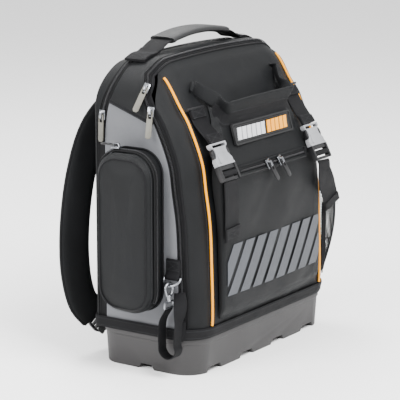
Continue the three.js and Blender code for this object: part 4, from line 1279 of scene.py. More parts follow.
@dataclass
class Foot(Part):
    """The moulded base and the binding over its seam."""

    low: float = 57.3
    height: float = 17.7
    slack: float = 0.8
    wall: float = 2.4

    def build(self) -> None:
        """Builds the tub and its binding."""
        tub = from_node("base_moulding", self.shop.nodes["base_tub"], 1.1, 3)
        self.finish(tub, Look.BASE, "base_tub")
        self.binding()

    def ring(self, z: float, out: float, steps: int = 16) -> Array:
        """The bag's plan at the binding, drawn out by a distance."""
        o = self.outline
        half, back = o.half + out, o.back + out
        front = o.front_y(0.0, z) - out - 0.5
        deep = o.back - o.rear_low - o.zip_width - 1 + out
        r, rb = o.front_radius + out, o.back_radius + out
        corners = [
            (half - r, front + r, r, r, -90),
            (half - rb, back - deep, rb, deep, 0),
            (rb - half, back - deep, rb, deep, 90),
            (r - half, front + r, r, r, 180),
        ]
        points = []
        for x, y, wide, deep_, turn in corners:
            t = np.radians(turn + np.linspace(0, 90, steps))
            points.append(np.stack([x + wide * np.cos(t), y + deep_ * np.sin(t), z + 0 * t], axis=1))
        line = np.concatenate(points)
        return resample([*line, line[0]], 261)[:-1]

    def binding(self) -> None:
        """A folded strip of webbing round the foot of the cloth, sewn twice."""
        t = np.linspace(0, 1, 9)
        puff = np.sin(t * math.pi) ** 0.4
        outs = self.slack + self.wall * (0.75 + 0.35 * puff)
        rows = np.array([self.ring(self.low + self.height * a, out) for a, out in zip(t, outs)])
        wave = crumple(rows, 60, 21) * 0.35
        rows += unit(rows * vec(1, 1, 0)) * wave[..., None]
        strip = shell("foot_binding", rows, self.wall, self.outline.middle, loop=True)
        self.finish(strip, Look.WEBBING, "base_binding")
        for up in (3.4, 14.2):
            seam = self.ring(self.low + up, self.slack + self.wall * 1.1 + 0.2)
            self.sew(np.concatenate([seam, seam[:1]]))


@dataclass
class Piping(Part):
    """The two amber cords down the front."""

    radius: float = 2.1

    def build(self) -> None:
        """Builds both cords and sews beside them."""
        o = self.outline
        for name, side in (("left", -1), ("right", 1)):
            x = side * o.piping
            foot = o.base + 18 + self.radius
            head = o.arch_height(x, o.zip_inset) - self.radius * 4
            z = foot + (head - foot) * np.linspace(0, 1, 110) ** 0.8
            path = np.stack([x + 0 * z, o.front_y(x + 0 * z, z), z], axis=1)
            ahead = heading(path)
            out = np.stack([0 * z, -ahead[:, 2], ahead[:, 1]], axis=1)
            raised = path + out * (self.radius * 0.55 + 0.6)
            cord = sweep(f"piping_cord_{name}", raised, RIGHT, round_section(self.radius, 12))
            self.finish(cord, Look.PIPING, f"piping_{name}")
            for shift in (-5.0, 5.0):
                beside = path + vec(shift, 0, 0) + out * 0.1
                beside[:, 1] = o.front_y(beside[:, 0], beside[:, 2]) - 0.1
                self.sew(beside[2:-4])


@dataclass
class FrontPocket(Part):
    """The big pocket with its open padded mouth, welt zip, badge and print."""

    bottom: float = 86.0
    top: float = 390.0
    half: float = 142.0
    depth: float = 11.0
    lift: float = 35.0
    bow: float = 3.0
    wall: float = 2.5
    seam: float = 2.8
    rim: float = 22.0
    welt_z: float = 305.0
    up: tuple[float, ...] = (0, 0.05, 0.38, 0.7, 0.8, 0.87, 0.92, 0.97, 1)
    halves: tuple[float, ...] = (0.985, 1, 1, 0.96, 0.86, 0.79, 0.72, 0.65, 0.61)
    behind: tuple[float, ...] = (0.07, 0, 0, 0.05, 0.19, 0.275, 0.315, 0.33, 0.3)
    root: tuple[float, ...] = (0.99, 1, 1, 1, 0.93, 0.83, 0.75, 0.73, 0.8)
    lifts: tuple[float, ...] = (0, 0, 0, 0.06, 0.15, 0.35, 0.6, 0.85, 1)

    def read(self, column: Sequence[float], z: Array) -> Array:
        """One column of the pocket's form at a height."""
        share = (np.asarray(z, float) - self.bottom) / (self.top - self.bottom)
        return smooth_read(self.up, column, share)

    def face(self, x: Array, z: Array) -> Array:
        """The pocket's front at a place across and up."""
        half = self.half * self.read(self.halves, z)
        across = np.clip(np.abs(x) / half, 0, 1)
        lean = self.read(self.behind, z) * self.outline.lean_depth
        return self.outline.front - self.depth + lean - self.bow * (1 - across**2)

    def level(self, z: float, count: int = 121) -> Array:
        """One level of the wall, from the panel on the left round to the right."""
        o = self.outline
        half, root_x = self.half * self.read(self.halves, z), self.half * self.read(self.root, z)
        root_z = z + self.lift * self.read(self.lifts, z)
        root = vec(-root_x, o.front_y(root_x, root_z) - self.seam, root_z)
        corner = vec(-half, self.face(half, z), z)
        front = [vec(-half * s, self.face(half * s, z), z) for s in (0.92, 0.7, 0.46, 0.22)]
        edge = vec(-half * 0.93, self.face(half * 0.93, z), z)
        turned = ((root + (corner - root) * 0.9) * 0.5 + edge * 0.5) * 0.6 + corner * 0.4
        left = [root, (root + corner) / 2, root + (corner - root) * 0.88, turned, *front]
        right = [p * vec(-1, 1, 1) for p in left[::-1]]
        line = resample([*left, vec(0, self.face(0.0, z), z), *right], count)
        return soften(line, 3)

    def build(self) -> None:
        """Builds the pocket and everything on it."""
        self.walls()
        self.mouth()
        self.welt()
        self.badge()
        self.print_stripes()

    def walls(self) -> None:
        """The pocket's wall: creased cloth whose sides fold in towards the mouth."""
        o = self.outline
        zs = np.linspace(self.bottom, self.top, 120)
        rows = [self.level(z) for z in zs]
        low = rows[0].copy()
        low[:, 2] = self.bottom - 3
        low[:, 1] = o.front_y(low[:, 0], low[:, 2]) - self.seam
        mid = (low + rows[0]) / 2 + vec(0, -1.5, -1.2)
        grid = np.array([low, mid, *rows])
        normals = surface_normals(grid)
        normals *= np.sign(-normals[..., 1].mean())
        x, z = grid[..., 0], grid[..., 2]
        row = np.arange(len(grid))
        away = (np.minimum(1, row / 6) * np.minimum(1, (1 + row[::-1]) / 6))[:, None]
        cols = np.linspace(-1, 1, grid.shape[1])[None]
        rooted = np.minimum(1, (1 - np.abs(cols)) * 9)
        gusset = smoothstep(np.abs(cols), 0.72, 0.86)
        folds = crumple(grid * vec(0.6, 1, 2.2), 46, 31) * 1.5 * gusset * smoothstep(z, 300, 360)
        body = crumple(grid * vec(1, 1, 0.55), 85, 33) * 1.0 + crumple(grid, 38, 35) * 0.35
        sag = -0.9 * bump(z, 296, 7) + 1.0 * bump(z, 318, 10) - 1.0 * bump(z, 100, 9)
        corner_fold = 1.6 * bump(z - 0.35 * np.abs(x), 60, 9) * smoothstep(np.abs(x), 70, 110) * (1 - gusset)
        move = body * (1 - 0.6 * gusset) + folds + sag * (1 - gusset) + corner_fold
        move = np.clip(move * away * rooted, -2.4, 2.2)
        grid += normals * move[..., None]
        cloth = shell("pocket_cloth", grid, self.wall, vec(0, o.front, 250))
        self.finish(cloth, Look.NYLON, "front_pocket")
        for name, column in (("left", 12), ("right", -13)):
            self.sew(grid[6:-6, column] + normals[6:-6, column] * 0.15)
        self.sew(grid[5, 14:-14] + normals[5, 14:-14] * 0.15)

    def mouth(self) -> None:
        """The mouth: a soft roll along the top edge, and a ribbed binding below it."""
        o = self.outline
        edge, below = self.level(self.top, 161), self.level(self.top - 9, 161)
        up = unit(edge - below)
        ahead = heading(edge)
        out = np.cross(up, ahead)
        out *= np.sign(-out[80, 1])
        t = np.linspace(0, 2 * math.pi, 22, endpoint=False)
        tall, thick = self.rim / 2, 3.1
        profile = np.stack([np.cos(t) * tall, blunt(np.sin(t), 0.6) * thick], axis=1)
        centre = edge + up * (tall + 0.3) + out * -1.2
        centre[:, 1] = np.minimum(centre[:, 1], o.front_y(centre[:, 0], centre[:, 2]) - 4.6)
        wave = crumple(centre, 42, 41)
        taper = np.minimum(1, np.minimum(np.arange(161), np.arange(161)[::-1]) / 6 + 0.55)
        size = np.stack([1 + wave * 0.05, taper * (1 + wave * 0.14)], axis=1)
        roll = sweep("mouth_roll", centre, up, profile, scale=size)
        self.finish(roll, Look.PADDED, "front_pocket_rim")
        rows = []
        for drop in np.linspace(-6, 19, 9):
            line = self.level(self.top - max(drop, 0.0), 161)
            if drop < 0:
                line = line + up * -drop
            rows.append(line + out * (1.3 + 0.5 * math.sin((drop + 6) / 25 * math.pi)))
        band = shell("mouth_binding", np.array(rows)[:, 8:-8], 1.2, vec(0, 20, 300))
        self.finish(band, Look.WEBBING)
        for row in (1, 7):
            self.sew(rows[row][12:-12] + out[12:-12] * 0.25)

    def on_face(self, x: Array, z: Array, out: float) -> Array:
        """Points on the pocket's front, raised off it."""
        x, z = np.broadcast_arrays(np.asarray(x, float), np.asarray(z, float))
        step = 2.0
        slope = (self.face(x, z + step) - self.face(x, z - step)) / (2 * step)
        size = np.sqrt(1 + slope**2)
        return np.stack([x, self.face(x, z) - out / size, z + out * slope / size], axis=-1)

    def welt(self) -> None:
        """The zip across the pocket between two rounded lips."""
        x = np.linspace(-97, 97, 120)
        path = self.on_face(x, self.welt_z, 1.2)
        tape = sweep("pocket_zip_tape", path, UP, flat_section(9.5, 1.6))
        self.finish(tape, Look.TAPE, "front_zip_welt")
        self.shop.zip_coil("pocket_zip_coil", self.on_face(x[3:-3], self.welt_z, 1.9), 1.3)
        for name, shift in (("upper", 5.6), ("lower", -5.6)):
            lip_path = self.on_face(x, self.welt_z + shift, 0.9)
            lip = sweep(f"pocket_zip_lip_{name}", lip_path, UP, round_section(2.9, 14, 0.75))
            self.finish(lip, Look.NYLON)
            self.sew(self.on_face(x, self.welt_z + shift * 1.72, 0.3))
        for name, side in (("left", -1), ("right", 1)):
            end = self.on_face(side * np.linspace(94.0, 101.0, 5), self.welt_z, 1.6)
            self.tape(f"pocket_zip_end_{name}", end, UP, 16, 2.6)

    def badge(self) -> None:
        """A plain plaque with a double raised edge and two rows of bare slanted bars."""
        cx, cz, wide, high = 2.0, 356.0, 166.0, 33.0
        def framed(inset: float, low: float, top: float, name: str, hole: float = 0.0) -> Piece:
            """A rounded plate, or a frame when it has a hole, laid on the pocket."""
            ring = rounded(wide - 2 * inset, high - 2 * inset, 3.5)
            holes = [rounded(wide - 2 * hole, high - 2 * hole, 2.0)] if hole else []
            return self._laid(plate(name, dense(ring), low, top, [dense(h) for h in holes]), cx, cz)
        plaque = framed(0.0, 0.2, 2.3, "badge_plaque")
        edges = [framed(0.2, 2.0, 3.9, "badge_edge", 2.6), framed(4.0, 2.0, 3.3, "badge_inner", 5.6)]
        whole = joined("badge_plaque", [plaque, *edges])
        self.finish(whole, Look.RUBBER, "badge")
        marks = (("pale", -72.0, 6.0, Look.WHITE_MARK), ("amber", 10.0, 72.0, Look.AMBER_MARK))
        for name, start, end, look in marks:
            bars = []
            count = round((end - start) / 13)
            for k in range(count):
                x0 = start + (end - start) * k / count
                x1 = start + (end - start) * (k + 1) / count - 2.6
                tilt, tall = 2.0, 9.4
                ring = [(x0 - tilt, -tall), (x1 - tilt, -tall), (x1 + tilt, tall), (x0 + tilt, tall)]
                bars.append(self._laid(plate(f"badge_{name}_{k}", dense(ring), 2.0, 3.5), cx, cz))
            self.finish(joined(f"badge_bars_{name}", bars), look)

    def _laid(self, obj: Piece, cx: float, cz: float) -> Piece:
        """Lays a flat moulding on the pocket's front, its own XY plane on the cloth."""
        co = np.empty(len(obj.data.vertices) * 3)
        obj.data.vertices.foreach_get("co", co)
        local = co.reshape(-1, 3) / MM
        world = self.on_face(local[:, 0] + cx, local[:, 1] + cz, 0.0)
        step = self.on_face(local[:, 0] + cx, local[:, 1] + cz, 1.0) - world
        world = world + step * (local[:, 2:] + 1.0)
        obj.data.vertices.foreach_set("co", (world * MM).ravel())
        obj.data.update()
        outwards(obj)
        return obj

    def print_stripes(self) -> None:
        """Slanted reflective bars printed across the foot of the pocket."""
        parts = []
        slant, wide, pitch = 50.0, 24.0, 33.5
        low, high = 119.0, 197.0
        for k in range(-6, 7):
            x0 = k * pitch - slant / 2 - 8
            rows = []
            for z in np.linspace(low, high, 16):
                lean = slant * (z - low) / (high - low)
                a, b = np.clip([x0 + lean, x0 + lean + wide], -134, 134)
                if b - a < 1.0:
                    continue
                rows.append(self.on_face(np.linspace(a, b, 7), z, 1.25))
            if len(rows) > 3:
                parts.append(shell(f"stripe_{k + 6}", np.array(rows), 0.5, vec(0, 0, 150)))
        self.finish(joined("pocket_stripes", parts), Look.PRINT)


def rounded(wide: float, high: float, radius: float, steps: int = 6) -> list[tuple[float, float]]:
    """A rectangle with rounded corners about the origin."""
    w, h = wide / 2 - radius, high / 2 - radius
    ring = []
    for x, y, start in ((w, h, 0), (-w, h, 90), (-w, -h, 180), (w, -h, 270)):
        for t in np.radians(start + np.linspace(0, 90, steps)):
            ring.append((x + radius * math.cos(t), y + radius * math.sin(t)))
    return ring


def dense(ring: Sequence[tuple[float, float]], step: float = 6.0) -> list[tuple[float, float]]:
    """A ring with extra points on its long sides, so that it can follow a curved face."""
    out = []
    for a, b in zip(ring, [*ring[1:], ring[0]]):
        count = max(1, int(math.dist(a, b) / step))
        out += [(a[0] + (b[0] - a[0]) * k / count, a[1] + (b[1] - a[1]) * k / count) for k in range(count)]
    return out


@dataclass
class PocketStraps(Part):
    """The two straps that hold the pocket shut, with their bars, buckles and hanging ends."""

    wide: float = 38.0
    thick: float = 2.0
    lean: float = 0.47
    upper: float = 36.0
    lower: float = 24.0
    gap: float = 0.8
    buckle_half: float = 23.0
    top_x: float = 133.0
    bar_z: float = 403.0
    tail: float = 92.0
    seats: dict[str, tuple[float, float, float]] = field(
        default_factory=lambda: {"left": (-132.0, -107.0, 321.0), "right": (128.0, -112.5, 311.0)}
    )

    @property
    def up(self) -> Array:
        """Up along the buckle's plane."""
        return vec(0, math.sin(self.lean), math.cos(self.lean))

    @property
    def out(self) -> Array:
        """Out of the buckle's plane."""
        return vec(0, -math.cos(self.lean), math.sin(self.lean))

    def joint(self, name: str, along: float) -> Array:
        """A place on a strap's line at a distance from the buckle's parting line."""
        return np.array(self.seats[name]) + self.up * along

    def build(self) -> None:
        """Builds both straps."""
        for name in self.seats:
            self.strap(name)
            self.buckle(name)
        self.left_tail()
        self.right_tail()

    def panel_place(self, name: str, z: float, out: float) -> Array:
        """A place over the front panel at the strap's top."""
        x = math.copysign(self.top_x, self.seats[name][0])
        y = self.outline.front_y(self.top_x - self.wide / 2, z)
        return vec(x, y - out, z)

    def strap(self, name: str) -> None:
        """The strap from its bar to the buckle, folded and box-stitched at both ends."""
        top = self.joint(name, self.upper + self.gap)
        first, last = (self.panel_place(name, self.bar_z - below, 1.8) for below in (22, 2.8))
        path = spline([top, top + self.up * 5, first, last], 60)
        self.tape(f"strap_{name}", path, RIGHT, self.wide, self.thick, f"pocket_strap_{name}")
        ahead = heading(path)
        out = np.cross(RIGHT, ahead)
        out *= np.sign(-out[30, 1])
        for label, part in (("low", slice(0, 14)), ("high", slice(46, 60))):
            fold = path[part] + out[part] * (self.thick + 0.1)
            self.tape(f"strap_fold_{name}_{label}", fold, RIGHT, self.wide - 0.6, self.thick)
            middle = fold[len(fold) // 2] + out[30] * self.thick * 0.55
            self.shop.sewing.box(middle, RIGHT, unit(fold[-1] - fold[0]), 30, 13, out[30])
        centre = self.panel_place(name, self.bar_z, 2.9)
        ends = centre + np.linspace(-22, 22, 9)[:, None] * RIGHT
        bar = sweep(f"strap_bar_{name}_rod", ends, UP, round_section(2.0, 14))
        self.finish(bar, Look.PLASTIC, f"strap_bar_{name}")

    def buckle(self, name: str) -> None:
        """A side-release buckle: a pale waisted half, and a black half whose prongs show at its sides."""
        origin, h = np.array(self.seats[name]), self.buckle_half
        axes = (RIGHT, self.up, self.out)
        u = self.upper
        half = [(h * 0.96, 0.3), (h * 0.96, u * 0.26), (h * 0.86, u * 0.34), (h * 0.66, u * 0.5)]
        half += [(h * 0.64, u * 0.62), (h * 0.68, u * 0.74), (h * 0.88, u * 0.83)]
        half += [(h * 0.92, u * 0.88), (h * 0.9, u)]
        ring = [*half, *[(-x, y) for x, y in half[::-1]]]
        slot = [(x, y + u * 0.87) for x, y in rounded(h * 1.5, 4.2, 1.2)]
        shell_half = plate(f"buckle_pale_{name}", ring, -4.2, 3.4, [slot])
        face = plate("buckle_face", rounded(h * 1.2, u * 0.42, 4), 3.0, 4.5)
        for vertex in face.data.vertices:
            vertex.co.y += u * 0.3 * MM
        e = h * 0.96
        lip = plate("buckle_lip", [(-e, 0.3), (e, 0.3), (e, 3.4), (-e, 3.4)], 3.0, 4.5)
        pale = bevelled(joined(f"buckle_pale_{name}", [shell_half, face, lip]), 0.8, 3)
        placed(pale, origin, *axes)
        self.finish(pale, Look.SILVER, f"buckle_upper_{name}")

        low = self.lower
        outer = [(h, 0), (h, -low + 3), (h * 0.92, -low), (-h * 0.92, -low), (-h, -low + 3), (-h, 0)]
        slots = [[(x, y - low * 0.72) for x, y in rounded(h * 1.6, 5.0, 1.5)]]
        slots.append([(x, y - low * 0.36) for x, y in rounded(h * 1.6, 4.2, 1.5)])
        frame = plate(f"buckle_dark_{name}", outer, -4.4, 3.2, slots)
        edge = [(h * 0.8, 0), (h, 0), (h, -low + 3), (h * 0.94, -low), (h * 0.8, -low)]
        rails = [plate("buckle_rail", ring, 3.0, 4.5) for ring in (edge, [(-x, y) for x, y in edge[::-1]])]
        prongs = []
        for side in (-1, 1):
            shape = [(0.7, 0.30), (0.88, 0.38), (0.95, 0.5), (0.93, 0.66), (0.82, 0.76), (0.72, 0.70)]
            prongs.append(plate("buckle_prong", [(side * h * x, u * y) for x, y in shape], -3.0, 2.6))
        dark = bevelled(joined(f"buckle_dark_{name}", [frame, *rails, *prongs]), 0.7, 3)
        placed(dark, origin, *axes)
        self.finish(dark, Look.PLASTIC, f"buckle_lower_{name}")
        roll = np.array([self.joint(name, -low * 0.54) + vec(x, 0, 0) for x in np.linspace(-17.5, 17.5, 7)])
        wrap = sweep(f"buckle_wrap_{name}", roll + self.out * 1.6, self.up, round_section(4.6, 14, 0.72))
        self.finish(wrap, Look.WEBBING)

    def left_tail(self) -> None:
        """The left strap's end hangs on the pocket and stops in a sewn fold."""
        start = self.joint("left", -self.lower - self.gap)
        points = [start, start + vec(0, -2, -self.tail * 0.4), start + vec(4, 1, -self.tail)]
        path = spline(points, 50)
        self.tape("tail_left", path, RIGHT, self.wide, self.thick, "pocket_tail_left")
        fold = path[38:] + vec(0, -self.thick - 0.1, 0)
        self.tape("tail_left_fold", fold, RIGHT, self.wide, self.thick)
        self.shop.sewing.box(fold[6] + vec(0, -1.2, 0), RIGHT, UP, 30, 11, vec(0, -1, 0))

    def right_tail(self) -> None:
        """The right strap's end runs down to the net pocket's front corner."""
        right = self.joint("right", -self.lower - self.gap - 0.3)
        hem = bottle_place(0.04, 1.0, 2.6)
        end = vec(hem[0], hem[1] - 5, 204.0)
        knee = right + (end - right) * 0.62 + vec(-4, -2, 0)
        route = [right, right - self.up * 6, right + vec(3, -2, -24), knee, end]
        path = spline(route, 60)
        side = RIGHT + np.linspace(0, 1, 60)[:, None] * vec(0, -0.12, 0)
        self.tape("tail_right", path, side, self.wide * 0.9, self.thick, "pocket_tail_right")
        fold = path[50:] + vec(0, -self.thick - 0.1, 0)
        self.tape("tail_right_fold", fold, side[50:], self.wide * 0.88, self.thick)
        self.shop.sewing.box(fold[5] + vec(0, -1.2, 0), vec(1, -0.1, 0), UP, 26, 10, vec(0, -1, 0))


@dataclass
class SidePocket(Part):
    """The box-shaped pocket on the left, with a zip round its front and top."""

    back: float = 60.0
    front: float = -38.0
    bottom: float = 98.0
    top: float = 344.0
    depth: float = 48.0
    lean: float = -8.0
    corner: float = 36.0
    seam: float = 0.9
    band: float = 12.0

    def ring(self, depth: float, inset: float, grow: float = 0.0, count: int = 240) -> Array:
        """One outline of the pocket at a distance from the bag's side."""
        share = depth / self.depth
        shift = self.lean * share
        r = max(self.corner - inset, 6.0) + grow
        y0, y1 = self.front + inset + shift - grow, self.back - inset + shift * 1.2 + grow
        z0, z1 = self.bottom + inset + 4 * share - grow, self.top - inset - 3 * share + grow
        points = []
        y0, y1, z0, z1 = y0 + r, y1 - r, z0 + r, z1 - r
        for y, z, start in ((y0, z0, 180), (y1, z0, 270), (y1, z1, 0), (y0, z1, 90)):
            t = np.radians(start + np.linspace(0, 90, 18))
            x = 0 * t - self.outline.half - self.seam - depth
            points.append(np.stack([x, y + r * np.cos(t), z + r * np.sin(t)], axis=1))
        line = np.concatenate(points)
        return resample([*line, line[0]], count + 1)[:-1]

    def build(self) -> None:
        """Builds the pocket's cloth, its cords and its zip."""
        shares = np.linspace(0, 1, 34)
        outs = smooth_read((0, 0.2, 0.45, 0.7, 0.9, 1), (0, 0.35, 0.72, 0.92, 0.98, 1), shares)
        insets = smooth_read((0, 0.2, 0.45, 0.7, 0.9, 1), (0, -2, -1, 4, 12, 28), shares)
        rows = [self.ring(out * self.depth, inset) for out, inset in zip(outs, insets)]
        last = rows[-1]
        centre = last.mean(axis=0)
        for s in np.linspace(1, 0, 40)[1:]:
            rows.append(centre + (last - centre) * s)
        grid = np.array(rows)
        normals = surface_normals(grid, loop=True)
        normals *= np.sign(-normals[30, :, 0].mean())
        centre_out = np.minimum(1, np.arange(len(grid)) / 10)[:, None]
        creases = crumple(grid * vec(1, 1, 0.5), 70, 51) * 0.9 + crumple(grid, 34, 53) * 0.25
        puff = smoothstep(np.arange(len(grid))[:, None] * 1.0, 30, 60) * 2.2
        grid += normals * (creases * centre_out * 0.8 + puff * 0.5)[..., None]
        cloth = shell("side_pocket_cloth", grid, 3.0, vec(-self.outline.half, 10, 220), loop=True)
        clean(cloth, 0.02, flatten=False)
        shade(cloth)
        self.finish(cloth, Look.NYLON, "side_pocket")
        for name, share, inset in (("face", 0.955, 6.6), ("root", 0.02, -1.2)):
            line = self.ring(share * self.depth, inset, 0.6)
            cord = sweep(f"side_pocket_cord_{name}", line, RIGHT, round_section(1.5, 10), closed=True)
            self.finish(cord, Look.WEBBING)
        self.sew(self.ring(self.depth * 0.78, -0.6, 0.4))
        self.zip()

    def zip(self) -> None:
        """The zip's ribbed tape and coil, from the back over the top and down the front."""
        start = self.depth * 0.42
        rows = []
        for t in np.linspace(0, 1, 9):
            line = self.ring(start + self.band * t, -1.8, 2.3 + 0.6 * math.cos(2 * math.pi * t) ** 2)
            rows.append(resample(self.part(line), 180))
        tape = shell("side_pocket_tape", np.array(rows), 2.0, vec(-self.outline.half, 10, 220))
        self.finish(tape, Look.TAPE, "side_pocket_zip")
        self.shop.zip_coil("side_pocket_coil", self.part(self.ring(start + self.band / 2, -1.8, 2.9)), 1.4)

    def part(self, line: Array) -> Array:
        """The stretch of an outline that the zip follows."""
        lift, ahead = line[:, 2], line[:, 1]
        middle_y = (self.front + self.back) / 2
        foot = self.bottom + self.corner * 0.55
        keep = (lift > self.top - self.corner * 1.1) | ((ahead < middle_y) & (lift > foot))
        start = int(np.argmax(~keep & np.roll(keep, -1))) + 1
        order = np.roll(np.arange(len(line)), -start)
        return np.array([line[i] for i in order if keep[i]])


@dataclass(frozen=True)
class BottleSizes:
    """The net pocket's sizes round the right front corner."""

    start: float = 20.0
    reach: float = 100.0
    bottom: float = 92.0
    height: float = 116.0
    bulge: float = 38.0
    wall: float = 1.6
    clear: float = 0.6
    radius: float = 45.0


BOTTLE = BottleSizes()


def bottle_place(t: Array, v: Array, stand: float) -> Array:
    """The net pocket's outside.

    Args:
        t: How far round the corner, from the front to the side.
        v: How far up.
        stand: How far it stands off that surface.

    Returns:
        Points there.
    """
    s, radius, middle = BOTTLE, BOTTLE.radius, vec(152.0, -56.0, 0)
    t, v = np.broadcast_arrays(np.asarray(t, float), np.asarray(v, float))
    along = s.start + s.reach * t
    turn = np.minimum(along / radius, math.pi / 2)
    past = np.maximum(0, along - radius * math.pi / 2)
    out = np.stack([np.sin(turn), -np.cos(turn), 0 * turn], axis=-1)
    belly = np.sin(math.pi * np.clip(t, 0, 1)) ** 0.75
    belly = belly * np.sin(np.clip(v * 1.15 + 0.05, 0.02, 1) * math.pi / 2) ** 0.8
    reach = s.wall + s.clear + s.bulge * belly * smoothstep(v, -0.02, 0.04) + stand
    point = middle + out * (radius + reach)[..., None]
    point[..., 1] += past
    point[..., 2] = s.bottom + s.height * v
    return point


@dataclass
class BottlePocket(Part):
    """The net pocket on the right front corner with its bound edges."""

    mesh: float = 4.6
    yarn: float = 0.68

    def build(self) -> None:
        """Builds the net, its hem and its bound foot and sides."""
        wide, high = BOTTLE.reach * 1.35, BOTTLE.height
        paths = []
        for lean in (-1, 1):
            for k in range(int(-high / self.mesh) - 1, int(wide / self.mesh) + 2):
                across = np.linspace(0, 1, 60) * high
                run = k * self.mesh + (across if lean > 0 else high - across)
                t, v = run / wide, across / high
                keep = (t >= 0.0) & (t <= 1.0)
                if keep.sum() > 3:
                    paths.append(bottle_place(t[keep], v[keep], -0.6 + 0.25 * lean))
        yarn = Laying(1.0, 1.0, self.yarn)
        self.shop.laid(self.shop.strand, "bottle_net", paths, Look.NET, yarn, "bottle_pocket")
        t = np.linspace(0, 1, 70)
        rows = []
        for h in np.linspace(0, 1, 7):
            puff = 1.1 + 0.7 * math.sin(math.pi * h)
            rows.append(bottle_place(t, 1.005 + 13 / high * h, puff))
        hem = shell("bottle_binding", np.array(rows), 2.6, vec(152, -56, 92))
        self.finish(hem, Look.WEBBING, "bottle_hem")
        self.sew(bottle_place(t[2:-2], 1.005 + 3 / high, 1.9))
        self.tape("bottle_foot_binding", bottle_place(t, 0.0, 0.4), UP, 9, 2.0)
        v = np.linspace(0.01, 1, 50)
        for name, at in (("front", 0.0), ("back", 1.0)):
            side = bottle_place(at, v, 0.2)
            wide_way = unit(bottle_place(at + (0.02 if at == 0 else -0.02), v, 0.2) - side)
            self.tape(f"bottle_edge_{name}", side + wide_way * 2, wide_way, 8, 2.0)


@dataclass
class Handle(Part):
    """The top handle: sewn feet, a strap and a ribbed rubber grip."""

    y: float = 45.0
    foot_half: float = 150.0
    foot_length: float = 34.0
    rise: float = 21.0
    grip_half: float = 78.0
    wide: float = 38.0
    thick: float = 2.0
    wall: float = 3.6

    def on_top(self, x: float) -> Array:
        """A place just above the top of the bag."""
        o = self.outline
        slope = (o.arch_height(x + 1, 0) - o.arch_height(x - 1, 0)) / 2
        top = o.arch_height(x, 0)
        drop = o.fall(self.y - self.wide / 2, top)
        return vec(x, self.y, top - drop) + unit(vec(-slope, 0, 1)) * 1.5

    def build(self) -> None:
        """Builds the strap, its sewn feet and its grip."""
        top = self.outline.arch_height(0.0, 0) + self.rise
        left = [self.on_top(-self.foot_half + self.foot_length * s) for s in (0, 0.5, 1)]
        left += [vec(-self.grip_half - 8, self.y, top - 10), vec(-self.grip_half / 2, self.y, top - 2)]
        path = spline([*left, vec(0, self.y, top), *[p * vec(-1, 1, 1) for p in left[::-1]]], 200)
        self.tape("handle_strap", path, BACK, self.wide, self.thick, "top_handle")
        ahead = heading(path)
        lift = np.stack([-ahead[:, 2], 0 * ahead[:, 0], ahead[:, 0]], axis=1)
        for name, part in (("left", slice(0, 30)), ("right", slice(170, 200))):
            fold = path[part] + lift[part] * (self.thick + 0.1)
            self.tape(f"handle_foot_{name}", fold, BACK, self.wide - 0.5, self.thick)
            k = 9 if name == "left" else 20
            middle, facing = fold[k], lift[part][k]
            self.shop.sewing.box(middle + facing * 1.1, BACK, ahead[part][k], 30, 20, facing)
        self.grip(path, lift)

    def grip(self, path: Array, lift: Array) -> None:
        """A hollow sleeve with ribs across its palm and a lip at both ends."""
        keep = np.abs(path[:, 0]) < self.grip_half
        line = resample(path[keep], 150)
        lift = resample(lift[keep], 150)
        t = np.linspace(0, 2 * math.pi, 40, endpoint=False)
        rows = []
        for i, (point, up) in enumerate(zip(line, lift)):
            rib = 0.45 * max(0.0, math.sin(i * 2 * math.pi / 5)) if 12 < i < 138 else 0.0
            lip = 0.7 * math.exp(-((min(i, 149 - i) - 3) / 3) ** 2)
            w, h = self.wide / 2 + self.wall + lip, 1.3 + self.wall + rib + lip
            y = blunt(np.cos(t), 0.55) * w
            z = blunt(np.sin(t), 0.7) * h
            rows.append(point + y[:, None] * BACK + z[:, None] * up)
        grid = np.array(rows)
        sleeve = shell("handle_sleeve", grid, 2.6, line[75], loop=True)
        self.finish(sleeve, Look.RUBBER, "handle_grip")


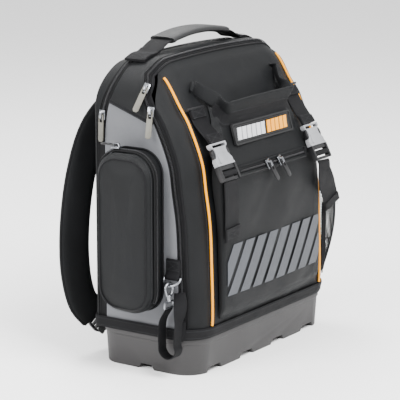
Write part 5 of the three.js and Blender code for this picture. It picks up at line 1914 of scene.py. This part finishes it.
@dataclass
class ShoulderStraps(Part):
    """The padded shoulder straps with bound edges, their ladder locks and lower webbing."""

    wide: float = 50.0
    thick: float = 12.0
    reach: float = 48.0
    web: float = 25.0
    side: tuple[float, ...] = (0.29, 0.35, 0.5, 0.7, 0.84, 0.915, 0.93, 0.88, 0.76)
    behind: tuple[float, ...] = (0.17, 0.235, 0.5, 0.8, 0.91, 0.95, 0.92, 0.82, 0.7)
    height: tuple[float, ...] = (0.93, 0.89, 0.848, 0.75, 0.61, 0.45, 0.3, 0.185, 0.12)
    turn: tuple[float, ...] = (0, 3, 11, 21, 24, 25, 25, 21, 14)

    def build(self) -> None:
        """Builds both straps."""
        o = self.outline
        for name, sign in (("left", -1), ("right", 1)):
            stations = [
                vec(sign * o.half * s, o.back + self.reach * b, o.top * h)
                for s, b, h in zip(self.side, self.behind, self.height)
            ]
            path = spline(stations, 130)
            knots = np.linalg.norm(np.diff(np.array(stations), axis=0), axis=1).cumsum()
            at = np.interp(np.linspace(0, knots[-1], 130), [0, *knots], np.arange(9))
            turn = np.radians(np.interp(at, np.arange(9), self.turn))
            across = np.stack([sign * np.cos(turn), np.sin(turn), 0 * turn], axis=1)
            self.pad(name, path, across)
            self.lock_and_web(name, sign, path, across)

    def pad(self, name: str, path: Array, across: Array) -> None:
        """A foam pad with slim edges, bound with tape and carrying a sewn web."""
        w, h = self.wide / 2, self.thick / 2
        t = np.linspace(0, 2 * math.pi, 36, endpoint=False)
        section = np.stack([blunt(np.cos(t), 0.6) * (w - 1), blunt(np.sin(t), 0.75) * h], axis=1)
        wave = crumple(path, 60, 61)
        ends = 0.55 + 0.45 * np.minimum(1, np.minimum(np.arange(130), np.arange(130)[::-1]) / 8)
        size = np.stack([np.ones(130), ends * (1 + wave * 0.05)], axis=1)
        cushion = sweep(f"shoulder_pad_{name}", path, across, section, scale=size)
        self.finish(cushion, Look.PAD, f"shoulder_strap_{name}")
        ahead = heading(path)
        wide_way = unit(across - ahead * (across * ahead).sum(axis=1, keepdims=True))
        face = np.cross(wide_way, ahead)
        face *= np.sign(face[65, 1])
        for label, edge in (("inner", -1), ("outer", 1)):
            line = path + wide_way * edge * (w - 1.4)
            tape = sweep(f"pad_binding_{name}_{label}", line[1:-1], face[1:-1], round_section(3.0, 12, 0.75))
            self.finish(tape, Look.WEBBING)
            self.sew((path + wide_way * edge * (w - 6.5) + face * h * 0.86)[4:-4])
        strip = (path + face * (h * 1.02 + 0.6))[12:-3]
        self.tape(f"pad_web_{name}", strip, wide_way[12:-3], self.web, 1.8)
        for k in (4, 55, 100):
            i = 12 + k
            self.shop.sewing.box(strip[k] + face[i] * 1.1, wide_way[i], ahead[i], 19, 14, face[i])

    def lock_and_web(self, name: str, sign: int, path: Array, across: Array) -> None:
        """The ladder lock at the pad's end, and the webbing from it to the foot of the bag."""
        o = self.outline
        end = path[-1]
        last = unit(path[-1] - path[-4])
        wide_way = unit(across[-1] - last * float(across[-1] @ last))
        w, h = 17.0, 14.0
        edge = [(w * 0.9, -h), (w, -h * 0.5), (w, h * 0.5), (w * 0.8, h)]
        ring = [*edge, *[(-x, y) for x, y in edge[::-1]]]
        slots = [[(x, y + k) for x, y in rounded(w * 1.55, 4.6, 1.4)] for k in (-7.5, 0.2, 8.2)]
        lock = bevelled(plate(f"ladder_lock_{name}", ring, -2.5, 2.5, slots), 0.8, 3)
        placed(lock, end + last * (0.75 + h), wide_way, last, np.cross(wide_way, last))
        self.finish(lock, Look.PLASTIC, f"adjuster_{name}")
        start = end + last * (2.7 + 2 * h)
        anchor = vec(sign * (o.half - 30), o.back + 2.1, 93.0)
        curl = start + last * 7
        low = vec(sign * (o.half - 40), o.back + 12.4, 57.0)
        route = [start, curl, curl + vec(sign * 8, -7, 4), low, anchor, anchor + vec(0, 0, 14)]
        line = spline(route, 90)
        self.tape(f"lower_strap_{name}", line, RIGHT, self.web, 1.9, f"lower_web_{name}")
        self.shop.sewing.box(anchor + vec(0, 1.2, 8), RIGHT, UP, 18, 12, BACK)


@dataclass
class Tether(Part):
    """The ring tab with its D-ring, and the snap hook on its webbing loop."""

    tab_y: float = -59.5
    tab_top: float = 183.0
    bend: float = 155.0
    layer: float = 1.8
    wire: float = 1.9
    drop: float = 15.0
    ring_half: float = 14.5
    tilt: float = 0.8
    hook_radius: float = 10.0
    hook_wire: float = 2.2
    clear: float = 0.3

    def build(self) -> None:
        """Builds the tab, the ring, the hook with its gate, and the loop."""
        o = self.outline
        bar = vec(-o.half - self.clear * 1.7 - self.layer - self.wire, self.tab_y, self.bend)
        down = vec(-math.sin(self.tilt), 0, -math.cos(self.tilt))
        self.tab(bar)
        t = np.linspace(0, math.pi, 40)
        bow = bar + (self.ring_half * np.cos(t))[:, None] * BACK
        bow = bow + (self.drop * np.sin(t) ** 0.85)[:, None] * down
        rod = bar + np.linspace(-self.ring_half, self.ring_half, 14)[1:-1, None] * BACK
        across = np.cross(down, BACK)
        line = np.concatenate([bow, rod])
        ring = sweep("tether_ring", line, across, round_section(self.wire, 14), closed=True)
        self.finish(ring, Look.STEEL, "d_ring")
        low = bar + down * self.drop
        centre = low - vec(0, 0, self.hook_radius - self.hook_wire - self.wire - self.clear)
        self.hook(centre)
        self.loop(centre)

    def tab(self, bar: Array) -> None:
        """A strap folded round the ring's bar and sewn shut above it."""
        round_ = self.wire + self.clear + self.layer / 2
        inner = bar[0] + round_
        t = np.linspace(0, math.pi, 18)
        turn = bar[0] + round_ * np.cos(t)
        bend = np.stack([turn, 0 * t + self.tab_y, self.bend - round_ * np.sin(t)], axis=1)
        folded = inner - self.layer - self.clear
        rise = np.linspace(0, 1, 10)[1:]
        x = bend[-1, 0] + (folded - bend[-1, 0]) * smoothstep(rise, 0, 0.35)
        z = self.bend + (self.tab_top - self.bend) * rise
        front = np.stack([x, 0 * rise + self.tab_y, z], axis=1)
        behind = [vec(inner, self.tab_y, z) for z in (self.tab_top, self.bend + 12)]
        path = np.concatenate([behind, bend, front])
        self.tape("ring_loop", resample(path, 80), BACK, 25.0, self.layer, "ring_tab")
        self.shop.sewing.box(vec(folded - 1.0, self.tab_y, 173.0), BACK, UP, 19, 13, vec(-1, 0, 0))

    def hook(self, centre: Array) -> None:
        """A cast hook on a swivel barrel, and its sprung gate."""
        def around(degrees: Array, radius: float = self.hook_radius) -> Array:
            """Places round the hook."""
            t = np.radians(degrees)
            return centre + np.stack([radius * np.cos(t), 0 * t, radius * np.sin(t)], axis=-1)
        r = self.hook_wire
        arc = around(np.linspace(-96, 160, 60))
        taper = np.interp(np.linspace(0, 1, 60), [0, 0.12, 0.8, 1], [1.25, 1.05, 1.0, 0.7])
        parts = [sweep("hook_arc", arc, BACK, round_section(r, 14), scale=np.stack([taper, taper], axis=1))]
        stem = centre - vec(0, 0, self.hook_radius - r * 0.5)
        heights = np.array([1.2, 0.6, 0, -0.6, -1.4, -2.2, -6.5, -7.2, -8.0, -9.0, -10.0])
        widths = np.array([2.2, 3.4, 3.9, 4.0, 4.0, 3.3, 3.3, 4.0, 4.0, 3.7, 2.4])
        barrel = stem + heights[:, None] * UP
        size = np.stack([widths, widths], axis=1)
        parts.append(sweep("hook_barrel", barrel, RIGHT, round_section(1.0, 20), scale=size))
        eye = stem - vec(0, 0, 10)
        frame = [[-11, 0], [-5, 0.3], [0, 0.5], [5, 0.3], [11, 0], [11.6, -4.5]]
        frame = np.array([*frame, [11, -9], [0, -9], [-11, -9], [-11.6, -4.5]])
        line = eye + frame[:, :1] * RIGHT + frame[:, 1:] * UP
        line = resample([*line, line[0]], 61)[:-1]
        parts.append(sweep("hook_eye", line, BACK, round_section(r * 0.7, 12), closed=True))
        self.finish(joined("swivel_hook", parts), Look.STEEL, "snap_hook")
        gate = resample([around(240.0), around(161.0)], 20)
        bar = sweep("hook_gate", gate, BACK, round_section(r * 0.7, 12))
        self.shop.finish(bar, Look.STEEL, ["snap_gate"], body="gate")

    def loop(self, centre: Array) -> None:
        """The webbing loop from the bag's side, round its low point and up to the hook's eye."""
        o = self.outline
        x, front, rear, low, sewn = centre[0], -77.0, -47.0, 33.0, self.bend - 22
        half = (rear - front) / 2
        t = np.radians(np.linspace(150, 360, 8))
        y, z = (front + rear) / 2, low + half
        bottom = [vec(x, y + half * math.cos(a), z + half * math.sin(a)) for a in t]
        eye = centre[2] - self.hook_radius + self.hook_wire * 0.5 - 19
        points = [vec(-o.half - 2.8, front + 6, sewn), vec(x + 8, front + 2, sewn - 18)]
        points += [vec(x, front, sewn - 45), *bottom]
        points += [vec(x, rear - 1, eye - 24), vec(x, centre[1], eye - self.hook_wire)]
        path = spline(points, 150)
        blend = np.clip(np.arange(150) / 35, 0, 1)[:, None]
        side = vec(0, -1, 0) * (1 - blend) + RIGHT * blend
        self.tape("tether_webbing", path, side, 20.0, 1.9, "tether_strap")


class ZipPulls(Part):
    """The six sliders and their pulls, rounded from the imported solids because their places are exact."""

    names = {
        "main_zip_upper": Look.GREIGE,
        "main_zip_lower": Look.GREIGE,
        "rear_zip": Look.GREIGE,
        "front_zip_left": Look.PLASTIC,
        "front_zip_right": Look.PLASTIC,
        "side_zip": Look.PLASTIC,
    }

    def build(self) -> None:
        """Builds each slider and its pull."""
        for name, look in self.names.items():
            slider = from_node(f"{name}_body", self.shop.nodes[f"{name}_slider"], 0.5, 2)
            self.finish(slider, Look.STEEL, f"{name}_slider")
            pull = from_node(f"{name}_tab", self.shop.nodes[f"{name}_puller"], 0.45, 2)
            self.shop.finish(pull, look, [f"{name}_puller"], body=f"{name}_pull")


@dataclass
class Studio:
    """The floor, the soft lights and the camera at the photograph's place."""

    azimuth: float = -56.0
    height: float = 12.5
    distance: float = 3.196
    lens: float = 180.0
    aim: tuple[float, float, float] = (0.0, 0.027, 0.227)

    def build(self) -> None:
        """Sets the stage."""
        self.floor()
        self.lights()
        self.camera()

    def floor(self) -> None:
        """A wide plain floor."""
        mesh = bpy.data.meshes.new("floor")
        mesh.from_pydata([(-9, -9, 0), (9, -9, 0), (9, 9, 0), (-9, 9, 0)], [], [(0, 1, 2, 3)])
        floor = linked("floor", mesh)
        material = bpy.data.materials.new("pale_floor")
        material.use_nodes = True
        surface = material.node_tree.nodes["Principled BSDF"]
        surface.inputs["Base Color"].default_value = (0.93, 0.93, 0.93, 1)
        surface.inputs["Roughness"].default_value = 0.9
        mesh.materials.append(material)

    def lights(self) -> None:
        """Three soft areas of light and a bright even surround."""
        world = bpy.data.worlds.new("studio")
        world.use_nodes = True
        ground = world.node_tree.nodes["Background"]
        ground.inputs["Color"].default_value = (1, 1, 1, 1)
        ground.inputs["Strength"].default_value = 1.5
        bpy.context.scene.world = world
        for name, turn, rise, far, size, power in (
            ("key", -20.0, 50.0, 2.2, 1.1, 120.0),
            ("fill", -105.0, 30.0, 2.4, 1.2, 70.0),
            ("rim", 150.0, 55.0, 2.4, 1.2, 60.0),
        ):
            data = bpy.data.lights.new(name, "AREA")
            data.size, data.energy = size, power
            self.aimed(linked(name, data), turn, rise, far)

    def aimed(self, obj: Piece, azimuth: float, height: float, distance: float) -> None:
        """Puts a lamp or a camera at two angles and a distance, looking at the bag."""
        a, e = math.radians(azimuth), math.radians(height)
        way = Vector((math.sin(a) * math.cos(e), -math.cos(a) * math.cos(e), math.sin(e)))
        obj.location = Vector(self.aim) + way * distance
        obj.rotation_euler = (-way).to_track_quat("-Z", "Y").to_euler()

    def camera(self) -> None:
        """The camera that was fitted to the photograph."""
        data = bpy.data.cameras.new("photo")
        data.lens, data.sensor_width = self.lens, 36.0
        data.clip_end = 50.0
        camera = linked("photo", data)
        self.aimed(camera, self.azimuth, self.height, self.distance)
        bpy.context.scene.camera = camera


def corners(bounds: tuple) -> list[list[float]]:
    """A box as plain lists of numbers."""
    return [[float(value) for value in corner] for corner in bounds]


def main() -> None:
    """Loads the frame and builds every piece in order."""
    logging.basicConfig(level=logging.INFO, format="%(name)s: %(message)s")
    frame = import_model()
    shop = Workshop(
        nodes=frame["nodes"],
        wardrobe=Wardrobe(),
        outline=Outline(),
        sewing=Sewing(),
        stitch=PathTree(Repeat.STITCH),
        coil=PathTree(Repeat.COIL),
        strand=PathTree(Repeat.STRAND),
    )
    parts = [Body(shop), Foot(shop), Piping(shop), FrontPocket(shop), PocketStraps(shop), SidePocket(shop)]
    parts += [BottlePocket(shop), Handle(shop), ShoulderStraps(shop), Tether(shop), ZipPulls(shop)]
    for part in parts:
        part.build()
    shop.laid(shop.stitch, "stitches", shop.sewing.seams, Look.THREAD, Laying(3.4, 1.25, 0.34))
    Studio().build()


if __name__ == "__main__":
    main()
